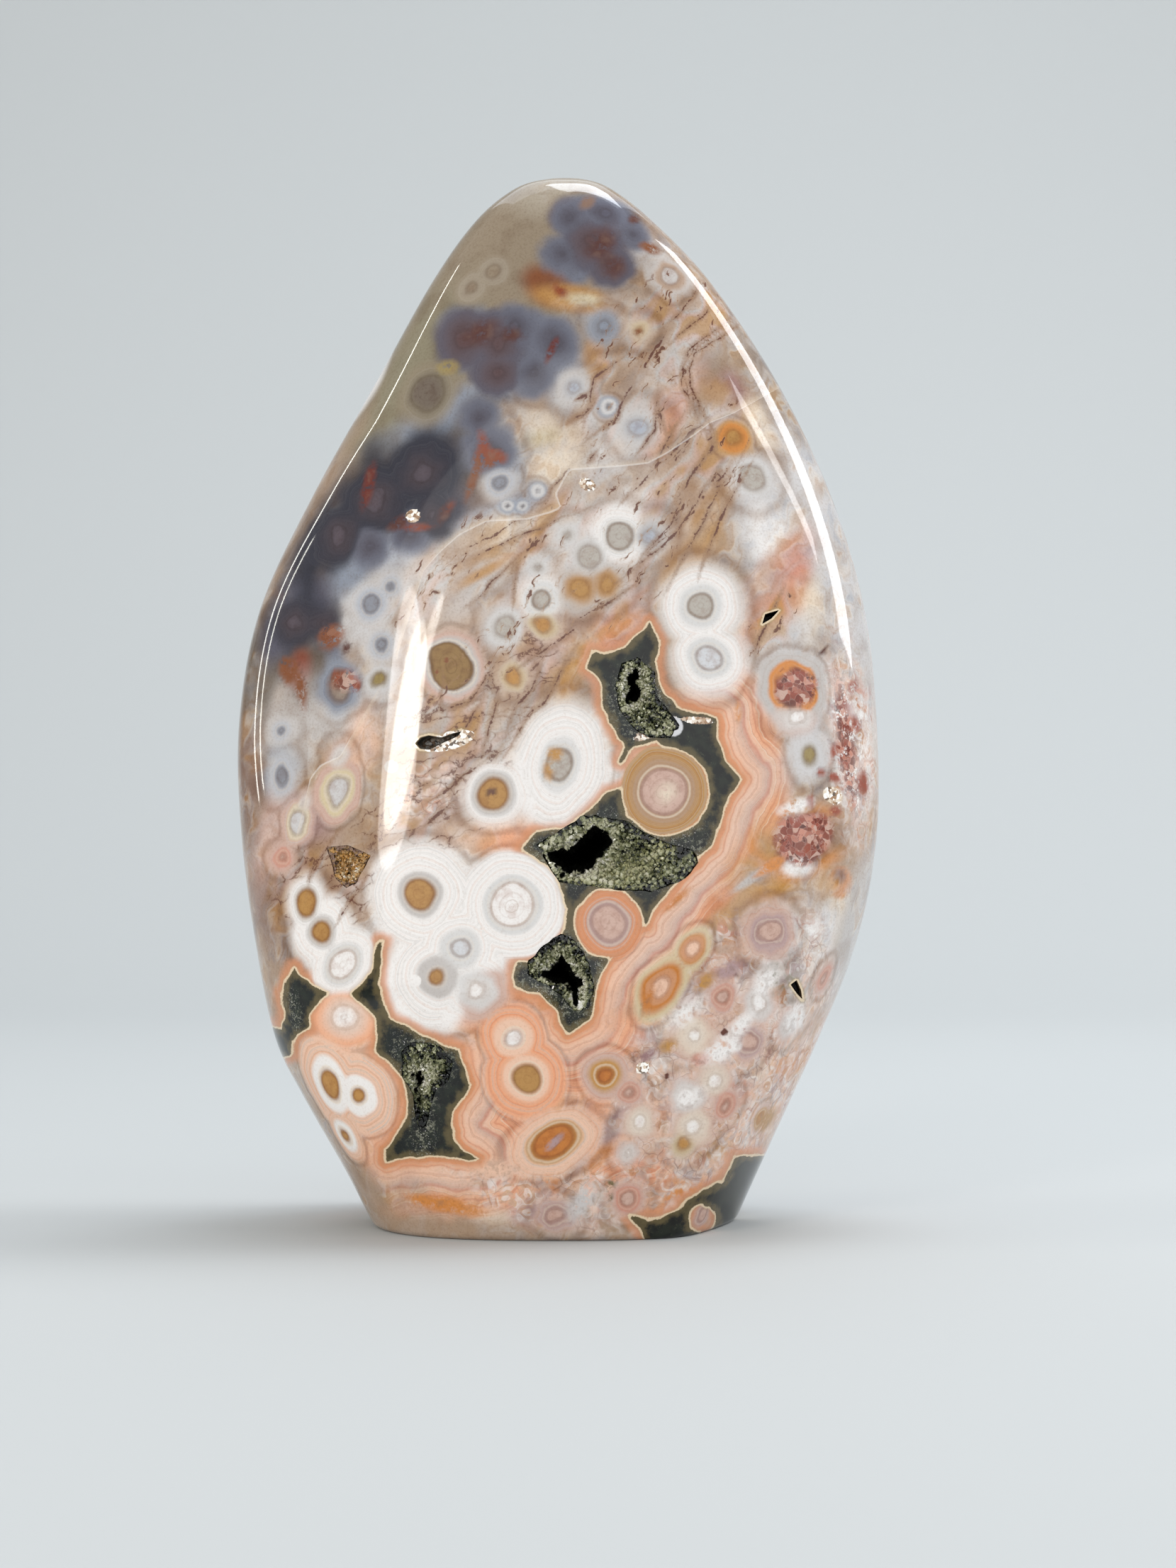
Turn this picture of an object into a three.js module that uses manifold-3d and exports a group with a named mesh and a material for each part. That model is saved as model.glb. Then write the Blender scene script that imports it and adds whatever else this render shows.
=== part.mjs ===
// A polished freeform of pink ocean jasper that stands on a flat cut base.
// Open pockets in its green chalcedony are lined with crusts of small quartz crystals.
// Millimetres, +Z up, the broad best face looks along -Y.
// The origin is the middle of the stone's box, on the surface that it stands on.
import * as THREE from "three";
import { mergeVertices } from "three/addons/utils/BufferGeometryUtils.js";
import Module from "manifold-3d";

const wasm = await Module();
wasm.setup();

// Driving dimensions. Sections of the stone: height, left edge, right edge, and depth in front and behind
const SECTIONS = [
  [0, -26.0, 25.3, 20.4],
  [8, -30.1, 28.9, 21.8],
  [18, -35.8, 33.5, 23.0],
  [26, -39.7, 37.1, 23.4],
  [38, -42.3, 41.7, 23.2],
  [54, -44.5, 44.7, 22.3],
  [70, -44.9, 44.8, 20.7],
  [86, -42.0, 43.1, 18.8],
  [102, -34.6, 38.4, 16.6],
  [118, -25.7, 30.8, 13.9],
  [132, -17.9, 21.5, 11.1],
  [140.5, -11.9, 13.5, 8.6],
  [145, -6.7, 7.9, 5.6],
  [146.5, -2.6, 4.4, 3.0],
  [146.9, 0.9, 0.9, 0],
];
const ROUNDNESS = 2.6; // superellipse power of a section: 2 is an ellipse, more is squarer
const BASE_BEVEL = 0.8; // round between the cut base and the sides
const AROUND = 60;
const LEVELS = 38;

// Flats ground by hand on the stone: outward direction, and how far out the flat lies along it
const FLATS = [
  [-0.446, -0.887, 0.12, 35.2], // left of the front, which leaves a soft upright ridge
  [0.837, -0.388, -0.388, 21.8], // low on the right
  [0.55, 0.83, 0.12, 37.5], // right of the back
  [-0.6, 0.78, -0.18, 25.5], // low on the left of the back
];
const EDGE_SOFTNESS = 3; // width of the round along the edge of a flat

const CUTTER_FRONT = -32; // a pocket's cutter starts here, in front of the stone
const CRUST_GAP = 0.35; // between a crust and the pocket that it lines
const CRUST_SETBACK = 1.1; // how far a crust lies behind the polished face
const CRUST_FLOOR = 1.6; // thickness of a crust on the floor of its pocket

// Pockets in the front face. mouth is the opening and hole the dark gap between the crystals: x and z,
// clockwise as seen from the front. floor is the y of the pocket's floor.
const POCKETS = [
  {
    name: "crystals_upper",
    mouth: [[8.6, 78.0], [11.0, 78.6], [13.2, 76.6], [13.2, 73.6], [15.0, 71.6], [16.4, 69.8], [15.6, 67.8],
      [12.6, 67.6], [10.2, 69.2], [8.4, 71.6], [7.8, 74.8]],
    hole: [[9.2, 76.4], [10.4, 76.9], [11.6, 75.6], [11.6, 74.0], [10.8, 72.2], [9.7, 71.8], [9.0, 73.2]],
    middle: [10.8, 73.4], holeMiddle: [10.3, 74.4], floor: -9.5, crystal: 1.0,
  },
  {
    name: "crystals_middle",
    mouth: [[-2.6, 53.4], [0.4, 55.4], [3.6, 57.4], [6.4, 57.2], [9.6, 56.4], [12.2, 54.8], [15.4, 53.6],
      [18.6, 52.6], [19.2, 50.6], [16.4, 48.4], [12.4, 47.2], [8.0, 47.4], [3.6, 48.0], [0.2, 48.4], [-1.2, 50.6]],
    hole: [[-1.2, 53.0], [1.6, 54.6], [4.8, 56.3], [7.0, 55.6], [9.4, 54.8], [10.9, 53.1], [9.8, 51.6],
      [5.6, 51.0], [2.9, 50.6], [0.7, 50.6]],
    middle: [7.4, 51.9], holeMiddle: [4.9, 53.0], floor: -9, crystal: 1.35,
  },
  {
    name: "crystals_lower",
    mouth: [[-3.9, 37.9], [-1.8, 39.9], [0.6, 41.6], [2.9, 40.2], [4.3, 37.6], [5.0, 34.6], [4.2, 31.6],
      [2.2, 31.2], [0.6, 33.2], [-1.6, 34.8], [-3.9, 36.0]],
    hole: [[-2.2, 37.3], [-0.5, 38.6], [0.9, 39.6], [2.1, 37.6], [3.1, 35.4], [2.8, 33.4], [1.6, 34.0], [0.4, 36.0]],
    middle: [0.8, 36.6], holeMiddle: [1.0, 36.8], floor: -11.5, crystal: 0.95,
  },
  {
    name: "crystals_foot",
    mouth: [[-21.0, 25.6], [-19.2, 27.2], [-16.0, 26.6], [-14.0, 24.4], [-14.6, 21.8], [-16.2, 20.6],
      [-17.0, 18.2], [-17.4, 15.8], [-18.6, 15.0], [-19.1, 16.8], [-19.4, 19.6], [-20.8, 22.4]],
    hole: [[-18.9, 23.9], [-17.6, 24.9], [-16.5, 23.7], [-17.0, 22.1], [-18.4, 22.0]],
    middle: [-17.6, 22.6], holeMiddle: [-17.7, 23.4], floor: -16.4, crystal: 0.8,
  },
  {
    name: "crystals_golden",
    mouth: [[-30.6, 52.4], [-28.0, 53.8], [-25.0, 53.2], [-23.8, 51.2], [-25.4, 49.0], [-27.6, 47.8], [-29.6, 49.0]],
    hole: [[-28.9, 51.6], [-27.4, 52.1], [-26.0, 51.0], [-27.2, 49.8], [-28.5, 50.2]],
    middle: [-27.3, 51.0], holeMiddle: [-27.5, 51.0], floor: -13.2, crystal: 0.75,
  },
];

// Small bare slits: x and z of the mouth, clockwise as seen from the front, and the y of the floor
const SLITS = [
  { mouth: [[-18.6, 67.2], [-17.4, 68.0], [-15.0, 68.2], [-11.7, 68.7], [-13.6, 67.6], [-15.6, 66.8], [-17.6, 66.3]],
    middle: [-16.2, 67.4], floor: -15.8 },
  { mouth: [[26.6, 82.2], [27.5, 84.2], [29.9, 85.0], [29.5, 83.9], [27.6, 82.8]], middle: [28.0, 83.5], floor: -11.5 },
  { mouth: [[30.4, 35.9], [31.4, 36.2], [32.3, 34.4], [32.5, 33.0], [31.4, 33.9]], middle: [31.5, 34.8], floor: -12.5 },
];

// Height, edges and depth at the place s along the list of sections, on a smooth curve through them
function sectionAt(s) {
  const last = SECTIONS.length - 1;
  const i = Math.min(Math.floor(s), last - 1);
  const t = s - i;
  const [z, left, right, depth] = SECTIONS[last - 1];
  const beyondTip = [z, right, left, -depth];
  const p1 = SECTIONS[i];
  const p2 = SECTIONS[i + 1];
  const p0 = i > 0 ? SECTIONS[i - 1] : p1.map((value, k) => 2 * value - p2[k]);
  const p3 = i + 2 <= last ? SECTIONS[i + 2] : beyondTip;
  return p1.map((_, k) => {
    const pull = p2[k] - p0[k];
    const bend = 2 * p0[k] - 5 * p1[k] + 4 * p2[k] - p3[k];
    const turn = 3 * (p1[k] - p2[k]) + p3[k] - p0[k];
    return p1[k] + 0.5 * t * (pull + t * (bend + t * turn));
  });
}

const signedPower = (value, power) => Math.sign(value) * Math.abs(value) ** power;

function softMin(a, b, width) {
  const overlap = Math.max(0, width - Math.abs(a - b));
  return Math.min(a, b) - (overlap * overlap) / (4 * width);
}

// The polished surface at angle u round the place s; reach is 1 on the surface and 0 at the section's middle
function surfacePoint(s, u, reach) {
  const [z, left, right, depth] = sectionAt(s);
  const middle = (left + right) / 2;
  const x = ((right - left) / 2) * signedPower(Math.cos(u), 2 / ROUNDNESS);
  const y = depth * signedPower(Math.sin(u), 2 / ROUNDNESS);
  const radius = Math.hypot(x, y);
  if (radius < 1e-6) return [middle, 0, z];
  let length = radius;
  for (const [nx, ny, nz, far] of FLATS) {
    const facing = (nx * x + ny * y) / radius;
    if (facing > 0) length = softMin(length, (far - nz * z - nx * middle) / facing, EDGE_SOFTNESS);
  }
  length -= Math.max(0, BASE_BEVEL - z);
  const scale = (reach * length) / radius;
  return [middle + x * scale, y * scale, z];
}

// One closed solid: equal corners become one vertex, and the faces that collapse there are dropped
function solidOf(geometry) {
  const plain = geometry.clone();
  plain.deleteAttribute("normal");
  plain.deleteAttribute("uv");
  const merged = mergeVertices(plain, 1e-3);
  const kept = [];
  const index = merged.index.array;
  for (let i = 0; i < index.length; i += 3) {
    const [a, b, c] = [index[i], index[i + 1], index[i + 2]];
    if (a !== b && b !== c && c !== a) kept.push(a, b, c);
  }
  const mesh = new wasm.Mesh({
    numProp: 3,
    vertProperties: new Float32Array(merged.attributes.position.array),
    triVerts: new Uint32Array(kept),
  });
  return new wasm.Manifold(mesh);
}

function geometryOf(solid) {
  const mesh = solid.getMesh();
  const geometry = new THREE.BufferGeometry();
  geometry.setAttribute("position", new THREE.BufferAttribute(mesh.vertProperties, 3));
  geometry.setIndex(new THREE.BufferAttribute(mesh.triVerts, 1));
  geometry.computeVertexNormals();
  return geometry;
}

// The whole stone before its pockets: a closed cylinder whose rings are laid on the stone's sections
function polishedBody() {
  const geometry = new THREE.CylinderGeometry(1, 1, 1, AROUND, LEVELS);
  geometry.rotateX(Math.PI / 2);
  const position = geometry.attributes.position;
  const bevelTop = BASE_BEVEL / SECTIONS[1][0];
  for (let i = 0; i < position.count; i++) {
    const [x, y] = [position.getX(i), position.getY(i)];
    const level = Math.round((position.getZ(i) + 0.5) * LEVELS);
    const above = (level - 1) / (LEVELS - 1);
    const s = level === 0 ? 0 : bevelTop + above * (SECTIONS.length - 1 - bevelTop);
    position.setXYZ(i, ...surfacePoint(s, Math.atan2(y, x), Math.min(1, Math.hypot(x, y))));
  }
  return solidOf(geometry);
}

// An outline drawn in by a distance, each corner along the line that halves it
function drawnIn(outline, distance) {
  const count = outline.length;
  return outline.map((point, i) => {
    const before = outline[(i + count - 1) % count];
    const after = outline[(i + 1) % count];
    const [ax, az] = [point[0] - before[0], point[1] - before[1]];
    const [bx, bz] = [after[0] - point[0], after[1] - point[1]];
    const [la, lb] = [Math.hypot(ax, az), Math.hypot(bx, bz)];
    const nx = az / la + bz / lb;
    const nz = -ax / la - bx / lb;
    const share = (2 * distance) / Math.max(nx * nx + nz * nz, 0.8);
    return [point[0] + nx * share, point[1] + nz * share];
  });
}

// A bowl that runs back along +Y: each ring has its y and the share of the outline's width that is left there
function bowl(outline, middle, rings, distance = 0) {
  const count = outline.length;
  const shapes = rings.map(([, share]) =>
    drawnIn(outline.map(([x, z]) => [middle[0] + (x - middle[0]) * share, middle[1] + (z - middle[1]) * share]), distance),
  );
  const geometry = new THREE.CylinderGeometry(1, 1, 1, count, rings.length - 1);
  const position = geometry.attributes.position;
  for (let i = 0; i < position.count; i++) {
    const [x, z] = [position.getX(i), position.getZ(i)];
    const ring = Math.round((position.getY(i) + 0.5) * (rings.length - 1));
    const corner = Math.round((Math.atan2(x, z) / (2 * Math.PI)) * count + count) % count;
    const [px, pz] = Math.hypot(x, z) < 0.5 ? middle : shapes[ring][corner];
    position.setXYZ(i, px, rings[ring][0], pz);
  }
  return solidOf(geometry);
}

const POCKET_TAPER = [[0, 1], [0.45, 0.92], [0.8, 0.74], [1, 0.5]];

// The rings of a pocket: straight in from the front to its rim, then narrowing to its floor
function pocketRings(rim, floor) {
  return [[CUTTER_FRONT, 1], ...POCKET_TAPER.map(([share, width]) => [rim + (floor - rim) * share, width])];
}

function frontOf(body, [x, z]) {
  const probe = new THREE.CylinderGeometry(0.5, 0.5, -CUTTER_FRONT, 6);
  probe.translate(x, CUTTER_FRONT / 2, z);
  return solidOf(probe).intersect(body).boundingBox().min[1];
}

// Whether a point lies inside an outline
function inside(outline, [x, z]) {
  let within = false;
  outline.forEach(([ax, az], i) => {
    const [bx, bz] = outline[(i + 1) % outline.length];
    if (az > z !== bz > z && x < ax + ((bx - ax) * (z - az)) / (bz - az)) within = !within;
  });
  return within;
}

// Six-sided quartz points that stand close together on the crust, round its hole, and lean towards it
function crystalsOn({ mouth, hole, middle, holeMiddle, crystal }, face) {
  const rim = drawnIn(mouth, 0.75 * crystal);
  const [width, height] = [0, 1].map((k) => Math.max(...mouth.map((corner) => Math.abs(corner[k] - middle[k]))));
  const step = 1.45 * crystal;
  const points = [];
  for (let row = -Math.ceil(height / step); row * step < height; row++) {
    for (let column = -Math.ceil(width / step); column * step < width; column++) {
      const turn = 2.4 * column + 4.1 * row;
      const x = middle[0] + step * (column + 0.5 * (row % 2) + 0.2 * Math.sin(turn));
      const z = middle[1] + step * (row + 0.2 * Math.cos(3 * turn));
      if (!inside(rim, [x, z]) || inside(hole, [x, z])) continue;
      const size = crystal * (1 + 0.25 * Math.sin(5 * turn));
      const lean = new THREE.Vector3(0.12 * (holeMiddle[0] - x), -1, 0.12 * (holeMiddle[1] - z));
      lean.x += 0.25 * Math.cos(turn);
      lean.z += 0.25 * Math.sin(turn);
      const point = new THREE.ConeGeometry(0.85 * size, 2.6 * size, 6);
      point.rotateY(turn);
      point.applyQuaternion(new THREE.Quaternion().setFromUnitVectors(new THREE.Vector3(0, 1, 0), lean.normalize()));
      point.translate(x, face + CRUST_SETBACK + 0.4 * size, z);
      points.push(solidOf(point));
    }
  }
  return points;
}

// A pocket's crust: its filling, set back from the polished face, with a hole in it and crystals round that
function crustSolid(pocket, body, face) {
  const { mouth, hole, middle, holeMiddle, floor } = pocket;
  const filling = bowl(mouth, middle, pocketRings(face, floor - CRUST_GAP), CRUST_GAP).intersect(body);
  const gap = bowl(hole, holeMiddle, pocketRings(face, floor - CRUST_FLOOR));
  let crust = filling.intersect(body.translate(0, CRUST_SETBACK, 0)).subtract(gap);
  for (const crystal of crystalsOn(pocket, face)) {
    crust = crust.add(crystal.intersect(filling));
  }
  return crust;
}

const JASPER = new THREE.MeshStandardMaterial({ color: 0xdfb8a0, roughness: 0.12, metalness: 0 });
const GREEN_QUARTZ = new THREE.MeshStandardMaterial({ color: 0x69715f, roughness: 0.3, metalness: 0 });
const GOLDEN_QUARTZ = new THREE.MeshStandardMaterial({ color: 0xa8845a, roughness: 0.3, metalness: 0 });

function named(name, solid, material) {
  const mesh = new THREE.Mesh(geometryOf(solid), material);
  mesh.name = name;
  return mesh;
}

const object = new THREE.Group();
const body = polishedBody();
let stone = body;
for (const pocket of [...POCKETS, ...SLITS]) {
  const face = frontOf(body, pocket.middle);
  stone = stone.subtract(bowl(pocket.mouth, pocket.middle, pocketRings(face, pocket.floor)));
}
object.add(named("stone", stone, JASPER));
for (const pocket of POCKETS) {
  const quartz = pocket.name === "crystals_golden" ? GOLDEN_QUARTZ : GREEN_QUARTZ;
  object.add(named(pocket.name, crustSolid(pocket, body, frontOf(body, pocket.middle)), quartz));
}

export default object;
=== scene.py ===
# A polished freeform of pink ocean jasper that stands on a pale floor.
# Lengths are in millimetres, and become metres where a mesh, a lamp or the camera is made.
import itertools
import math
from types import SimpleNamespace

import bpy
import numpy as np
from mathutils import Matrix, Vector
from mathutils.bvhtree import BVHTree


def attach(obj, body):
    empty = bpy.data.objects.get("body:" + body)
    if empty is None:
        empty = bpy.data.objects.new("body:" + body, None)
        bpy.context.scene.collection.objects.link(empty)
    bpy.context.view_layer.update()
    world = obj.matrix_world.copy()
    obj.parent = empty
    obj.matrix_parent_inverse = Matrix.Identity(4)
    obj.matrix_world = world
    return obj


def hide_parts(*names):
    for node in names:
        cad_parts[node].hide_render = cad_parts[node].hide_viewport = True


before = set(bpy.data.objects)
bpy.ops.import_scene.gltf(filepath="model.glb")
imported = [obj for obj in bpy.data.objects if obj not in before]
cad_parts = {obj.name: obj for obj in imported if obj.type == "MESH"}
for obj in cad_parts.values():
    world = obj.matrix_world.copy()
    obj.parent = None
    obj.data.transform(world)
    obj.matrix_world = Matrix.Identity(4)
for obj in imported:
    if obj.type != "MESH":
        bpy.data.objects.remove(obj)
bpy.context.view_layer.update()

MM = 0.001
scene = bpy.context.scene
scene.view_settings.view_transform = "Standard"

# The stone's own form: height, left edge, right edge and depth of its sections, as in the solid
SECTIONS = np.array([
    (0, -26, 25.3, 20.4),
    (8, -30.1, 28.9, 21.8),
    (18, -35.8, 33.5, 23),
    (26, -39.7, 37.1, 23.4),
    (38, -42.3, 41.7, 23.2),
    (54, -44.5, 44.7, 22.3),
    (70, -44.9, 44.8, 20.7),
    (86, -42, 43.1, 18.8),
    (102, -34.6, 38.4, 16.6),
    (118, -25.7, 30.8, 13.9),
    (132, -17.9, 21.5, 11.1),
    (140.5, -11.9, 13.5, 8.6),
    (145, -6.7, 7.9, 5.6),
    (146.5, -2.6, 4.4, 3),
    (146.9, 0.9, 0.9, 0),
])
ROUNDNESS = 2.6
BASE_BEVEL = 0.8
FLATS = (
    (-0.446, -0.887, 0.12, 35.2),
    (0.837, -0.388, -0.388, 21.8),
    (0.55, 0.83, 0.12, 37.5),
    (-0.6, 0.78, -0.18, 25.5),
)
EDGE_SOFTNESS = 3.0
AROUND = 268
LEVELS = 326
SPARSER_BEHIND = 0.68  # share of the points that the back does without
SHARP = math.radians(40)  # the least turn of an edge that isn't rounded over
POLISH_LOSS = 0.02  # the fine surface stays this far inside the solid's box

# Pockets: outlines of the mouth and of the dark hole in it, their middles, and the floor's place
# behind the front; all seen from the front, in the stone's own frame
POCKETS = {
    "crystals_upper": {
        "mouth": (
            (8.6, 78), (11, 78.6), (13.2, 76.6), (13.2, 73.6), (15, 71.6), (16.4, 69.8),
            (15.6, 67.8), (12.6, 67.6), (10.2, 69.2), (8.4, 71.6), (7.8, 74.8),
        ),
        "hole": (
            (10.6, 77.2), (11.3, 76.5), (10.9, 75.3), (11.6, 73.8), (10.8, 72.9), (9.2, 72.3), (9, 73.6),
            (9.6, 74.7), (9, 75.8), (9.8, 76.3),
        ),
        "middles": ((10.8, 73.4), (10.3, 74.8)),
        "floor": -9.5,
        "crystal": 0.44,
    },
    "crystals_middle": {
        "mouth": (
            (-2.6, 53.4), (0.4, 55.4), (3.6, 57.4), (6.4, 57.2), (9.6, 56.4), (12.2, 54.8), (15.4, 53.6),
            (18.6, 52.6), (19.2, 50.6), (16.4, 48.4), (12.4, 47.2), (8, 47.4), (3.6, 48),
            (0.2, 48.4), (-1.2, 50.6),
        ),
        "hole": (
            (-1.6, 52.7), (0, 52.7), (1.7, 53.1), (2.5, 54), (3.5, 54.6), (4.9, 56.1), (6, 55.7),
            (7, 54.8), (7.4, 53.4), (6.5, 52.6), (6.1, 51.7), (4.9, 50.3), (3.5, 49.7), (1.4, 49.6),
            (0.5, 48.9), (0.2, 50.2), (-1.1, 51.2),
        ),
        "middles": ((7.4, 51.9), (3.2, 52.4)),
        "floor": -9,
        "crystal": 0.56,
    },
    "crystals_lower": {
        "mouth": (
            (-3.9, 37.9), (-1.8, 39.9), (0.6, 41.6), (2.9, 40.2), (4.3, 37.6), (5, 34.6), (4.2, 31.6),
            (2.2, 31.2), (0.6, 33.2), (-1.6, 34.8), (-3.9, 36),
        ),
        "hole": (
            (0.6, 38.6), (1.6, 37.5), (2.2, 36.1), (3.6, 35), (3, 33.9), (2.6, 31.8), (2.1, 33.5),
            (1.1, 34.4), (-0.2, 34.9), (-2.4, 35.8), (-1, 37.1),
        ),
        "middles": ((0.8, 36.6), (0.9, 36)),
        "floor": -11.5,
        "crystal": 0.44,
    },
    "crystals_foot": {
        "mouth": (
            (-21, 25.6), (-19.2, 27.2), (-16, 26.6), (-14, 24.4), (-14.6, 21.8), (-16.2, 20.6),
            (-17, 18.2), (-17.4, 15.8), (-18.6, 15), (-19.1, 16.8), (-19.4, 19.6), (-20.8, 22.4),
        ),
        "hole": ((-19.4, 22.6), (-18.4, 22.9), (-17.7, 22), (-18.3, 20.6), (-18.9, 19.9), (-19.2, 21.3)),
        "middles": ((-17.6, 22.6), (-18.6, 21.8)),
        "floor": -16.4,
        "crystal": 0.42,
    },
    "crystals_golden": {
        "mouth": (
            (-31.6, 53.2), (-28.4, 53.3), (-25, 52), (-26, 50.2), (-27.2, 48.2), (-28.6, 47.4),
            (-30, 48.6), (-30.6, 50.6),
        ),
        "hole": ((-28.8, 50.4), (-28.1, 50.7), (-27.7, 50.1), (-28.3, 49.6)),
        "middles": ((-28.3, 50.8), (-28.3, 50.2)),
        "floor": -13.2,
        "crystal": 0.42,
    },
}
SLITS = (
    {
        "mouth": (
            (-19.2, 67.1), (-18.5, 67.9), (-17.4, 68.2), (-15.6, 67.9), (-12.7, 68.9), (-13.4, 68),
            (-15.4, 67.1), (-17.2, 66.2), (-18.6, 66.3),
        ),
        "middle": (-16.2, 67.4),
        "floor": -15.8,
    },
    {
        "mouth": ((27.8, 83.3), (28.2, 84.7), (30.2, 85.3), (29.1, 84.1)),
        "middle": (28.7, 84.3),
        "floor": -11.5,
    },
    {
        "mouth": ((31.6, 34.4), (32.5, 35), (33.2, 33.5), (33.5, 32), (32.7, 32.9)),
        "middle": (32.5, 33.8),
        "floor": -12.5,
    },
)
POCKET_STEPS = 84  # points round a pocket
MOUTH_RAGGED = 0.05  # how uneven a pocket's mouth is, as a share of its radius
HOLE_RAGGED = 0.08
CUTTER_FRONT = -32.0
POCKET_TAPER = ((0, 1), (0.22, 0.97), (0.45, 0.92), (0.65, 0.84), (0.8, 0.74), (0.93, 0.6), (1, 0.45))

# How the crust runs in from the mouth: millimetres behind the polished face, share of the way
# from the mouth's outline to the hole's, and size there
CRUST_STEPS = (
    (0.25, 0.0, 0.97),
    (0.6, 0.3, 0.97),
    (1.1, 0.6, 0.98),
    (1.8, 0.85, 1.0),
    (2.8, 1.0, 1.0),
    (4.2, 1.0, 1.04),
    (6.0, 1.0, 1.0),
)
CRUST_FLOOR = (1.2, 0.75)  # millimetres in front of the pocket's floor, and size there
CRUST_BACK = 0.3  # millimetres between the crust and the pocket's wall
FLUSH = 0.06  # millimetres that crystals stay behind the polished surface
QUARTZ = {"Size": 0.45, "Spacing": 0.5, "Length": 1.5}  # times the pocket's own crystal size

# The camera stands level in front of the stone, as far off as the photograph was taken
CAMERA = Vector((4.15, -450, 61.6))
FRAME_HEIGHT = 221.2  # of the picture, at the stone's middle plane
SENSOR = 36.0

# Lamps: low end and high end as angles from straight behind the stone, to the right, and upwards;
# then width in millimetres, power in watts, tint and shape
MIDDLE = Vector((0, 0, 80))
LAMP_DISTANCE = 900
LAMPS = (
    ("window_left", (-137.5, 8), (-152, 16.2), 104, 0.84, (1, 0.97, 0.9), "ELLIPSE"),
    ("window_left_tip", (-146, 13.4), (-159, 18.8), 24, 0.14, (1, 0.97, 0.9), "ELLIPSE"),
    ("window_left_haze", (-136.5, 6.6), (-149, 16.6), 200, 1.05, (1, 0.94, 0.9), "ELLIPSE"),
    ("strip_right", (90, 11), (67, 52), 210, 4.2, (0.95, 0.97, 1)),
    ("strip_right_inner", (104, 22), (124, 36), 60, 0.5),
    ("strip_left", (-101, 4), (-84, 44), 24, 1, (1, 0.99, 0.93)),
    ("strip_left_inner", (-107, 6), (-103, 24), 14, 0.3, (1, 0.99, 0.9)),
    ("rim_top", (52, 62), (-30, 84), 240, 2.6, (0.86, 0.92, 1)),
    ("sky_behind", (0, 45), (0, 88), 800, 2.4, (0.82, 0.9, 1)),
    ("soft_front", (171.5, -4), (171.5, 31), 1860, 2.6),
)

FLOOR_PAINT = (0.48, 0.494, 0.49)
FLOOR_ROUGHNESS = 0.8
SKY_TINT = (0.96, 0.98, 1.0)
SKY_STRENGTH = 0.58

# The colours in the stone, as they look in daylight
COLOURS = {
    "taupe": (142, 127, 107),
    "khaki_grey": (134, 126, 104),
    "shaded_taupe": (104, 92, 82),
    "umber_grey": (108, 96, 84),
    "mocha": (128, 102, 88),
    "dusk": (146, 131, 118),
    "warm_grey": (160, 149, 132),
    "slate": (86, 84, 96),
    "mauve_slate": (92, 80, 86),
    "plum": (88, 66, 66),
    "dark_slate": (48, 48, 58),
    "blue_slate": (110, 113, 126),
    "haze_blue": (136, 142, 154),
    "ice": (166, 171, 182),
    "fog": (198, 195, 194),
    "haze": (188, 182, 178),
    "pale_grey": (208, 206, 204),
    "white": (233, 229, 226),
    "glint": (255, 253, 248),
    "cream": (222, 206, 186),
    "pale_yellow": (204, 188, 154),
    "beige": (190, 167, 148),
    "sand": (166, 141, 118),
    "tan": (168, 134, 104),
    "dun": (142, 108, 80),
    "gold": (184, 136, 74),
    "ochre": (176, 132, 74),
    "amber": (190, 118, 52),
    "khaki": (142, 111, 66),
    "olive_gold": (150, 132, 84),
    "orange": (204, 132, 66),
    "rust": (126, 74, 42),
    "ember": (134, 62, 34),
    "red_brown": (86, 52, 46),
    "red": (102, 44, 34),
    "salmon": (228, 163, 125),
    "deep_salmon": (206, 136, 92),
    "rose": (196, 134, 114),
    "pale_salmon": (228, 189, 164),
    "pink": (198, 166, 152),
    "lilac": (170, 142, 142),
    "mauve": (146, 112, 112),
    "grey": (178, 171, 162),
    "cool_white": (204, 205, 208),
    "cool_grey": (138, 140, 148),
    "brick": (152, 80, 64),
    "green": (26, 32, 23),
    "teal": (12, 21, 21),
    "dark_green": (10, 13, 9),
    "olive": (108, 94, 60),
    "glow": (150, 146, 96),
    "druse_light": (146, 146, 130),
    "druse": (84, 88, 68),
    "quartz_green": (118, 120, 84),
    "quartz_pale": (182, 180, 152),
    "rim": (222, 202, 170),
    "vein": (92, 50, 38),
    "shadow": (6, 6, 5),
}

# The crystals' colours, from the painted shade deep in a pocket to its light parts
QUARTZ_TONES = {
    "green_quartz": (
        (0.0, "shadow"), (0.1, "green"), (0.3, "quartz_green"), (0.55, "quartz_pale"), (0.85, "white"),
    ),
    "golden_quartz": (
        (0.0, "mocha"), (0.2, "khaki"), (0.45, "gold"), (0.7, "pale_yellow"), (0.9, "white"),
    ),
}

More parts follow.
